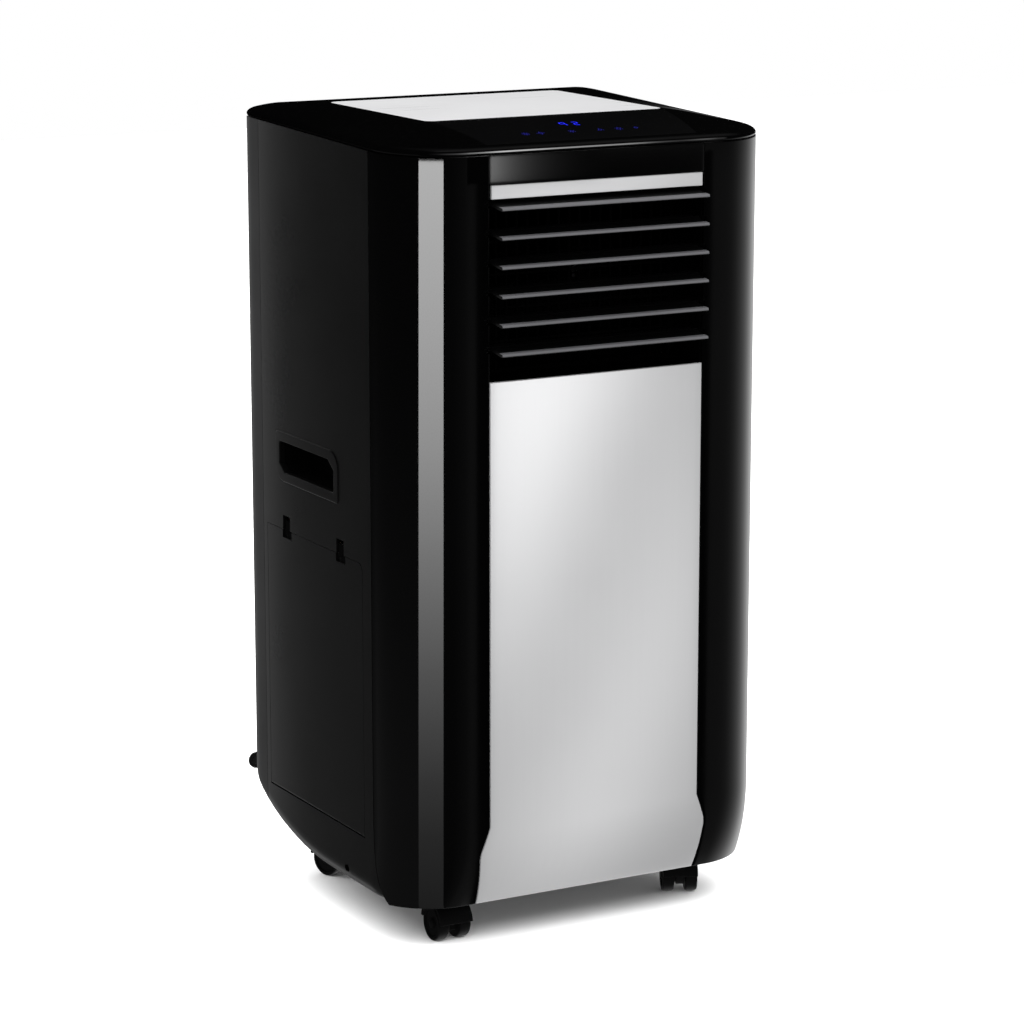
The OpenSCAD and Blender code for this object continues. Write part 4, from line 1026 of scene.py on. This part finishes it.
def rear_details():
    """Collar, hooks, gland, plugs and screws at the rear."""
    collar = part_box("exhaust_collar")
    back, y1 = REAR / MM, collar[1].y / MM
    foot = collar[0].y / MM
    r = 75
    profile = [(r, foot), (r + 4, foot), (r + 4, back - 6.4), (r + 12, back - 6.2), (r + 12, back - 3.2),
               (r + 4, back - 3.2), (r + 4, back + 4), (r + 5, back + 5), (r + 5, back + 7),
               (r + 4, back + 8),
               (r + 4, y1 - 1), (r + 3.2, y1), (r + 0.8, y1), (r, y1 - 1), (r, foot)]
    rear_piece("exhaust_collar", turned(profile, (0, 0, 245 * MM), steps=160))
    post = [(0, -20), (3.5, -20), (3.5, 12.4), (4.2, 13), (7.2, 13), (7.7, 13.5), (7.7, 15.2), (7, 16),
            (0, 16)]
    hooks = [turned(post, (side * 162 * MM, REAR, 89.5 * MM)) for side in (-1, 1)]
    rear_piece("cord_hooks", merged(*hooks))
    gland = [(3.6, -6), (9, -6), (9, 0), (12, 0), (12, 2.4), (11.4, 3), (8.4, 3), (8, 3.6), (7.2, 10.4),
             (6.6, 11),
             (3.6, 11), (3.6, -6)]
    rear_piece("cord_gland", turned(gland, (150 * MM, REAR, 150 * MM)))
    for name, body in (("drain_plug_lower", "lower_plug"), ("drain_plug_upper", "upper_plug")):
        lo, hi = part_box(name)
        plug = lathe([(0, 0), (6.4, 0), (7, 0.6), (7, 3), (6.7, 3.5), (7, 4), (7, 12), (10, 12),
                      (10.5, 12.5),
                      (10.5, 14.5), (10, 15), (0, 15)], 48)
        whole = merged(plug, prism(round_rect(1.5, 5, 1.2, 4), 2, 14.5, 20))
        whole.transform(Matrix.Scale(MM, 4))
        placed(whole, ((lo.x + hi.x) / 2, lo.y, (lo.z + hi.z) / 2), (0, 1, 0))
        obj = to_object(name + "_moulded", whole)
        finish(obj, body, RUBBER, "rubber", [name], bevel=0.25 * MM, steps=2, angle=50)
    head = [(0, 2), (2.2, 1.95), (3.4, 1.5), (4.0, 0.9), (4.2, 0.2), (4.2, 0), (0, 0)]
    heads = to_object("screw_heads", merged(*[turned(head, (x, REAR, z), steps=40) for x, z in SCREWS]))
    for w, h in ((2.2, 0.45), (0.45, 2.2)):
        slots = [round_rect(w * MM, h * MM, 0.2 * MM, 2, spot) for spot in SCREWS]
        cut(heads, *[prism(slot, 1, REAR + 0.9 * MM, REAR + 3 * MM) for slot in slots])
    finish(heads, "cabinet", STEEL, "steel", ["rear_screws"], bevel=0, angle=35)


# ------------------------------------------------------------------ casters
# Each caster's stem in mm, across and behind the front, and its turn at rest in degrees
CASTERS = {"front_left": (-119, 55, 0), "front_right": (119, 55, 155), "rear_left": (-119, 248, 200),
           "rear_right": (119, 248, 170)}


def casters():
    """Twin-wheel casters: a hooded body between two dished wheels, drawn in mm."""
    trail, axle, r = 8, 15, 15
    for name, (x, y, turn) in CASTERS.items():
        stand = Matrix.Rotation(math.radians(turn), 4, "Z") @ Matrix.Scale(MM, 4)
        place = Matrix.Translation((x * MM, FRONT + y * MM, 0)) @ stand
        stem = lathe([(0, 31), (11, 31), (11, 35.6), (10.2, 36.4), (4, 36.4), (4, 47), (3.4, 47.6),
                      (0, 47.6)], 48)
        web = prism([(-trail - 9, 9), (4, 9), (9, 16), (9, 34), (-trail - 9, 31)], 0, -3.9, 3.9)
        hood = arc((-trail, axle), r + 4, 8, 172, 18) + arc((-trail, axle), r + 1.2, 172, 8, 18)
        body = merged(stem, web, prism(hood, 0, -15.5, 15.5))
        body.transform(place)
        node_name = "caster_" + name
        # The casters' plastic carries painted shade: it is darkened for the shade beneath the cabinet
        finish(to_object(node_name + "_moulded", body), node_name, WHEEL_BLACK_PAINTED_SHADE, "matte_black",
               [node_name],
               bevel=0.7 * MM)
        tread = [(0, 4.7), (r - 2, 4.7), (r - 0.6, 5.2), (r, 6.4), (r, 14.2), (r - 0.6, 15.3),
                 (r - 1.8, 15.6),
                 (r - 3, 15.2), (r - 3.6, 14), (4.6, 13.6), (4.2, 15.2), (3.4, 15.8), (0, 16)]
        wheels = [placed(lathe(tread, 72), (0, -trail, axle), (side, 0, 0)) for side in (-1, 1)]
        rod = lathe([(0, -5), (2.9, -5), (2.9, 5), (0, 5)], 32)
        wheels.append(placed(rod, (0, -trail, axle), (1, 0, 0)))
        pair = merged(*wheels)
        pair.transform(place)
        node_name = "wheels_" + name
        finish(to_object(node_name + "_moulded", pair), node_name, WHEEL_BLACK_PAINTED_SHADE, "wheel_black",
               [node_name], bevel=0)


# ------------------------------------------------------------------ CAD nodes that stay
def paint(names, material):
    for name in names:
        slots = frame["nodes"][name].data.materials
        slots.clear()
        slots.append(material)


def finish_cad_nodes():
    paint(["side_filter", "rear_filter"], GAUZE)
    paint(["evaporator_coil", "condenser_coil"], FINS)
    paint(["drain_pan", "louvre_link"], LIGHT_PLASTIC)
    paint(["condenser_scroll", "condenser_wheel", "exhaust_duct"], GREY_PLASTIC)
    paint(["evaporator_scroll", "evaporator_wheel"], DEEP_BLACK)
    paint(["evaporator_motor", "condenser_motor", "compressor", "accumulator"], ENAMEL)
    paint(["evaporator_shaft", "condenser_shaft", "swing_motor"], STEEL)
    paint(["control_box"], SHEET_STEEL)
    paint(["refrigerant_pipes"], COPPER)
    paint(["compressor_grommets"], RUBBER)
    paint(["display_board"], BOARD)
    paint(["louvre_blade_%d" % (i + 1) for i in range(BLADES)], BLADE_BLACK)
    refined("louvre_housing", "cabinet", DEEP_BLACK, "matte_black", 0.3 * MM)
    refined("outlet_guard", "cabinet", DEEP_BLACK, "matte_black", 0.25 * MM, steps=2)
    refined("filter_door", "filter_door", SATIN_BLACK, "satin_black", 0.7 * MM)
    refined("door_latches", "filter_door", DEEP_BLACK, "matte_black", 0.3 * MM)
    refined("rear_grille", "rear_grille", GRAINED_BLACK, "matte_black", 0.6 * MM)


# ------------------------------------------------------------------ studio
def by_angle(tree, value, *stops):
    """Maps a value in degrees to a grey, through (degrees, grey) stops."""
    low, high = stops[0][0], stops[-1][0]
    share = math_node(tree, "DIVIDE", math_node(tree, "SUBTRACT", value, low), high - low)
    return ramp(tree, share, [((at - low) / (high - low), (level,) * 3) for at, level in stops])


def mixed(tree, share, first, second):
    """first where share is 0, second where it is 1."""
    change = math_node(tree, "MULTIPLY", share, math_node(tree, "SUBTRACT", second, first))
    return math_node(tree, "ADD", change, first)


def studio_world():
    """A white room for the camera, an even light for diffuse surfaces, and soft boxes for reflections."""
    world = bpy.data.worlds.new("studio")
    bpy.context.scene.world = world
    world.use_nodes = True
    tree = world.node_tree
    tree.nodes.clear()
    x, y, z = node(tree, "SeparateXYZ", Vector=node(tree, "TexCoord").outputs["Generated"]).outputs
    degrees = 180 / math.pi
    height = math_node(tree, "MULTIPLY", math_node(tree, "ARCSINE", z), degrees)
    # Bearing of a direction from the front: positive to the left, 180 at the rear
    turn = math_node(tree, "ARCTAN2", math_node(tree, "MULTIPLY", x, -1.0),
                     math_node(tree, "MULTIPLY", y, -1.0))
    bearing = math_node(tree, "MULTIPLY", turn, degrees)

    round_about = by_angle(tree, bearing, (-180, 0.03), (-165, 0.25), (-150, 0.4), (-132, 0.9),
                           (-116, 1.28),
                           (-106, 1.2), (-97, 0.96), (-84, 0.62), (-72, 0.37), (-62, 0.21), (-53, 0.13),
                           (-44, 0.1),
                           (-30, 0.085), (-20, 0.05), (0, 0.02), (30, 0.008), (172, 0.008), (180, 0.03))
    low = by_angle(tree, height, (-90, 1.0), (-7, 1.0), (-4.5, 0.5), (-2, 0.03), (1, 0.004), (38, 0.004),
                   (60, 0.1),
                   (90, 0.2))
    left_side = by_angle(tree, bearing, (-180, 0.0), (15, 0.0), (40, 1.0), (145, 1.0), (160, 0.0),
                         (180, 0.0))
    left_low = by_angle(tree, height, (-90, 0.08), (-17, 0.07), (-12, 0.022), (-8.5, 0.003), (-5, 0.0),
                        (90, 0.0))
    gloss = math_node(tree, "ADD", math_node(tree, "MULTIPLY", round_about, low),
                      math_node(tree, "MULTIPLY", left_side, left_low))

    rays = node(tree, "LightPath").outputs
    even = 0.92
    level = mixed(tree, rays["Is Glossy Ray"], even, gloss)
    level = mixed(tree, rays["Is Camera Ray"], level, 1.0)
    background = node(tree, "Background", Color=(1, 1, 1, 1), Strength=level)
    node(tree, "OutputWorld", Surface=background.outputs[0])


def unseen(obj, *kinds):
    """Hides an object from the named kinds of rays."""
    for kind in kinds:
        setattr(obj, "visible_" + kind, False)


def studio_floor():
    size = 6.0
    rows = [[Vector((x, y, 0)) for x in spaced(-size, size, 4)] for y in spaced(-size, size, 4)]
    floor = grid("studio_floor", rows, inside=Vector((0, 0, -1)))
    mat, tree, bsdf = shader("floor_paper", (0.93, 0.93, 0.93), 0.9)
    paper = tint(tree, noise(tree, 3, 3), grey(0.92, 1), grey(0.94, 1))
    feed(tree, bsdf.inputs["Base Color"], paper)
    bsdf.inputs["Specular IOR Level"].default_value = 0.0
    floor.data.materials.append(mat)
    unseen(floor, "glossy", "diffuse", "shadow")
    return floor


def area_light(name, at, target, size, power):
    data = bpy.data.lights.new(name, "AREA")
    data.shape = "RECTANGLE"
    data.size, data.size_y = size
    data.energy = power
    light = new_object(name, data)
    light.location = at
    light.rotation_euler = (Vector(target) - Vector(at)).to_track_quat("-Z", "Y").to_euler()
    unseen(light, "camera")
    return light


def between(stops, at):
    """A value from (place, value) stops."""
    for (a, low), (b, high) in zip(stops, stops[1:]):
        if at <= b:
            return low + (high - low) * max(0.0, at - a) / (b - a)
    return stops[-1][1]


def card(name, rows, radiance):
    """A glowing sheet that only reflections see; radiance(i, j) gives its light at row i, column j."""
    bm = bmesh.new()
    layer = bm.verts.layers.float.new("glow")
    verts = []
    for i, row in enumerate(rows):
        line = []
        for j, p in enumerate(row):
            v = bm.verts.new(p)
            v[layer] = radiance(i, j)
            line.append(v)
        verts.append(line)
    for a, b in zip(verts, verts[1:]):
        for k in range(len(a) - 1):
            bm.faces.new((a[k], a[k + 1], b[k + 1], b[k]))
    obj = to_object(name, bm)
    mat = bpy.data.materials.new(name)
    mat.use_nodes = True
    tree = mat.node_tree
    tree.nodes.clear()
    level = node(tree, "Attribute")
    level.attribute_name = "glow"
    light = node(tree, "Emission", Strength=level.outputs["Fac"])
    node(tree, "OutputMaterial", Surface=light.outputs[0])
    obj.data.materials.append(mat)
    unseen(obj, "camera", "diffuse", "shadow")
    return obj


def only_for(light, *targets):
    """Links a light or a glowing card to the objects it lights."""
    receivers = bpy.data.collections.new(light.name + "_receivers")
    for target in targets:
        receivers.objects.link(target)
    light.light_linking.receiver_collection = receivers


# Light of the corner's strip against the height, and its edges as turns round the corner in degrees
STRIP_LIGHT = [(0.037, 0.24), (0.105, 0.47), (0.17, 0.9), (0.26, 2.2), (0.34, 4.0), (0.43, 6.6),
               (0.515, 8.4), (0.6, 9.8), (0.674, 10.9)]
STRIP_EDGES = ((43.6, -5.6), (23.4, -4.0))
STRIP_DRAW = 430
# Light of the silver panel's sheen along its diagonal, which falls by SHEEN_FALL per metre of height
SHEEN = [(0, 1.42), (0.3, 1.3), (0.45, 1.1), (0.65, 0.58), (0.8, 0.36), (1.0, 0.35), (1.2, 0.53),
         (1.4, 0.7), (1.55, 0.6),
         (1.8, 0.27), (2.0, 0.05), (2.2, 0.0)]
SHEEN_FALL = 2.46
# The trim bar's own light over the panel's, and how much it falls from left to right
TRIM_LIGHT, TRIM_FALL, TRIM_MARGIN = 1.02, 0.36, 40 * MM
# How much of the panel's light is lost down to the underside
FOOT_FADE = 0.45
BAND_LIGHT, BAND_FALL = 4.7, 17.2 * MM
# Light along the lid's front edge, from left to right
EDGE_LIGHT = [(-0.15, 0.0), (-0.13, 1.0), (-0.118, 3.0), (-0.106, 6.0), (-0.093, 12.0), (-0.065, 10.0),
              (-0.04, 6.5), (0.03, 5.0),
              (0.055, 1.2), (0.08, 0.5), (0.1, 2.0), (0.125, 0.0)]


def mirrored_at(point, normal, reach=0.6):
    """Where the camera's ray goes after the surface mirrors it."""
    ray = (point - EYE).normalized()
    bounce = ray - 2 * ray.dot(normal) * normal
    return point + bounce * reach / max(math.hypot(bounce.x, bounce.y), 0.55)


def front_normal(n, z):
    """Outward normal of the front at a height, for a normal n of its outline."""
    drop = max(0.0, TUCK_Z - z)
    return Vector((n.x, n.y, n.y * drop / math.sqrt(TUCK_R**2 - drop**2))).normalized()


def corner_strip(target):
    """The tall soft box that the glossy left corner mirrors as a bright strip."""
    heights = spaced(SEAM_FRONT_Z, TUCK_Z, 12) + spaced(TUCK_Z, UNDERSIDE, 9)[1:]
    rows = []
    for z in heights:
        turns = [at + lean * max(0.0, z - TUCK_Z) - STRIP_DRAW * (tuck_y(z) - FRONT) for at,
                 lean in STRIP_EDGES]
        row = []
        for turn in spaced(*turns, 8):
            length = FLAT_FRONT + FRONT_R * math.radians(turn)
            p = drawn_back(length, z)
            row.append(mirrored_at(Vector((p.x, p.y, z)), front_normal(on_outline(length)[1], z), 0.35))
        rows.append(row)
    only_for(card("corner_strip", rows, lambda i, j: between(STRIP_LIGHT, heights[i])), target)


def panel_sheen(*targets):
    """The soft box with a slanted fall of light that the silver panel mirrors."""
    heights = spaced(STRIP_HI.z + 0.02, TUCK_Z, 44) + spaced(TUCK_Z, UNDERSIDE, 20)[1:]
    across = spaced(-0.06, 1.04, 22)
    rows = []
    for z in heights:
        n = front_normal(Vector((0, -1)), z)
        rows.append([mirrored_at(Vector((COLUMN * (2 * u - 1), tuck_y(z), z)), n) for u in across])

    def light(i, j):
        z = heights[i]
        if z > OPENING_TOP - TRIM_MARGIN:
            return TRIM_LIGHT * (1 - TRIM_FALL * across[j])
        fade = 1 - FOOT_FADE * max(0.0, TUCK_Z - z) / (TUCK_Z - UNDERSIDE)
        return fade * between(SHEEN, max(0.0, across[j] + SHEEN_FALL * (PANEL_TOP - z)))

    only_for(card("panel_sheen", rows, light), *targets)


def band_sheen(target):
    """The soft box whose light fades along the band over the louvres."""
    xs = spaced(-COLUMN - 4 * MM, 0, 44)
    rows = []
    for z in spaced(SEAM_FRONT_Z + 10 * MM, STRIP_HI.z + MM, 3):
        row = []
        for x in xs:
            back, slope = bow(max(x, -COLUMN))
            row.append(mirrored_at(Vector((x, STRIP_LO.y + back, z)), Vector((slope, -1, 0)).normalized(),
                                   0.3))
        rows.append(row)
    light = [BAND_LIGHT * math.exp(-max(0.0, x + COLUMN) / BAND_FALL) for x in xs]
    only_for(card("band_sheen", rows, lambda i, j: light[j]), target)


def edge_sheen(target):
    """The soft box that draws a thin line along the lid's front edge."""
    places = spaced(-0.155, 0.125, 35)
    rows = []
    for tilt in (2, 10, 18, 26):
        a = math.radians(tilt)
        row = []
        for place in places:
            p, n = on_outline(abs(place))
            side = 1 if place < 0 else -1
            normal = Vector((side * n.x * math.cos(a), n.y * math.cos(a), math.sin(a)))
            row.append(mirrored_at(Vector((side * p.x, p.y, SEAM_FRONT_Z + 2 * MM)), normal))
        rows.append(row)
    only_for(card("edge_sheen", rows, lambda i, j: between(EDGE_LIGHT, places[j])), target)


def studio():
    studio_world()
    floor = studio_floor()
    middle = (0, 0, 0.35)
    unseen(area_light("key_above", (-0.3, -0.5, 2.6), middle, (2.4, 2.4), 25), "glossy")
    only_for(area_light("floor_light", (0, 0, 3.2), (0, 0, 0), (9, 9), 700), floor)
    made = bpy.data.objects
    turned_pieces = ("exhaust_collar", "cord_hooks", "cord_gland", "drain_plug_lower", "drain_plug_upper")
    rear = [made[name + "_moulded"] for name in ("rear_cover", "rear_grille") + turned_pieces]
    rear_light = area_light("rear_light", (0.9, 2.2, 1.6), middle, (1.6, 1.6), 60)
    only_for(rear_light, made["screw_heads"], *rear)
    corner_strip(made["front_column_left"])
    panel_sheen(made["front_panel_sheet"], made["trim_bar"])
    band_sheen(made["front_band_moulded"])
    edge_sheen(made["lid"])
    across = spaced(-0.235, -0.175, 4)
    rows = [[Vector((x, REAR + 64 * MM, z)) for x in across] for z in spaced(0.8, -0.2, 10)]
    left_rear = ("side_panel_left_moulded", "filter_door_moulded", "handle_left_bezel",
                 "rear_cover_moulded")
    only_for(card("rear_card", rows, lambda i, j: 0.55), *[made[name] for name in left_rear])


def camera():
    data = bpy.data.cameras.new("camera")
    data.sensor_width = 36
    data.lens = 123.414
    cam = new_object("camera", data)
    cam.location = EYE
    cam.rotation_euler = (math.radians(90 - 12.2218), 0, math.radians(-28.8263))
    bpy.context.scene.camera = cam


# ------------------------------------------------------------------ making
camera()
bpy.context.scene.view_settings.view_transform = "Standard"
front_columns()
side_panels()
rear_wall()
base_tray()
lid()
control_glass()
top_plate()
display()
front_panel()
trim()
front_band()
blades()
handles()
rear_details()
casters()
finish_cad_nodes()
studio()
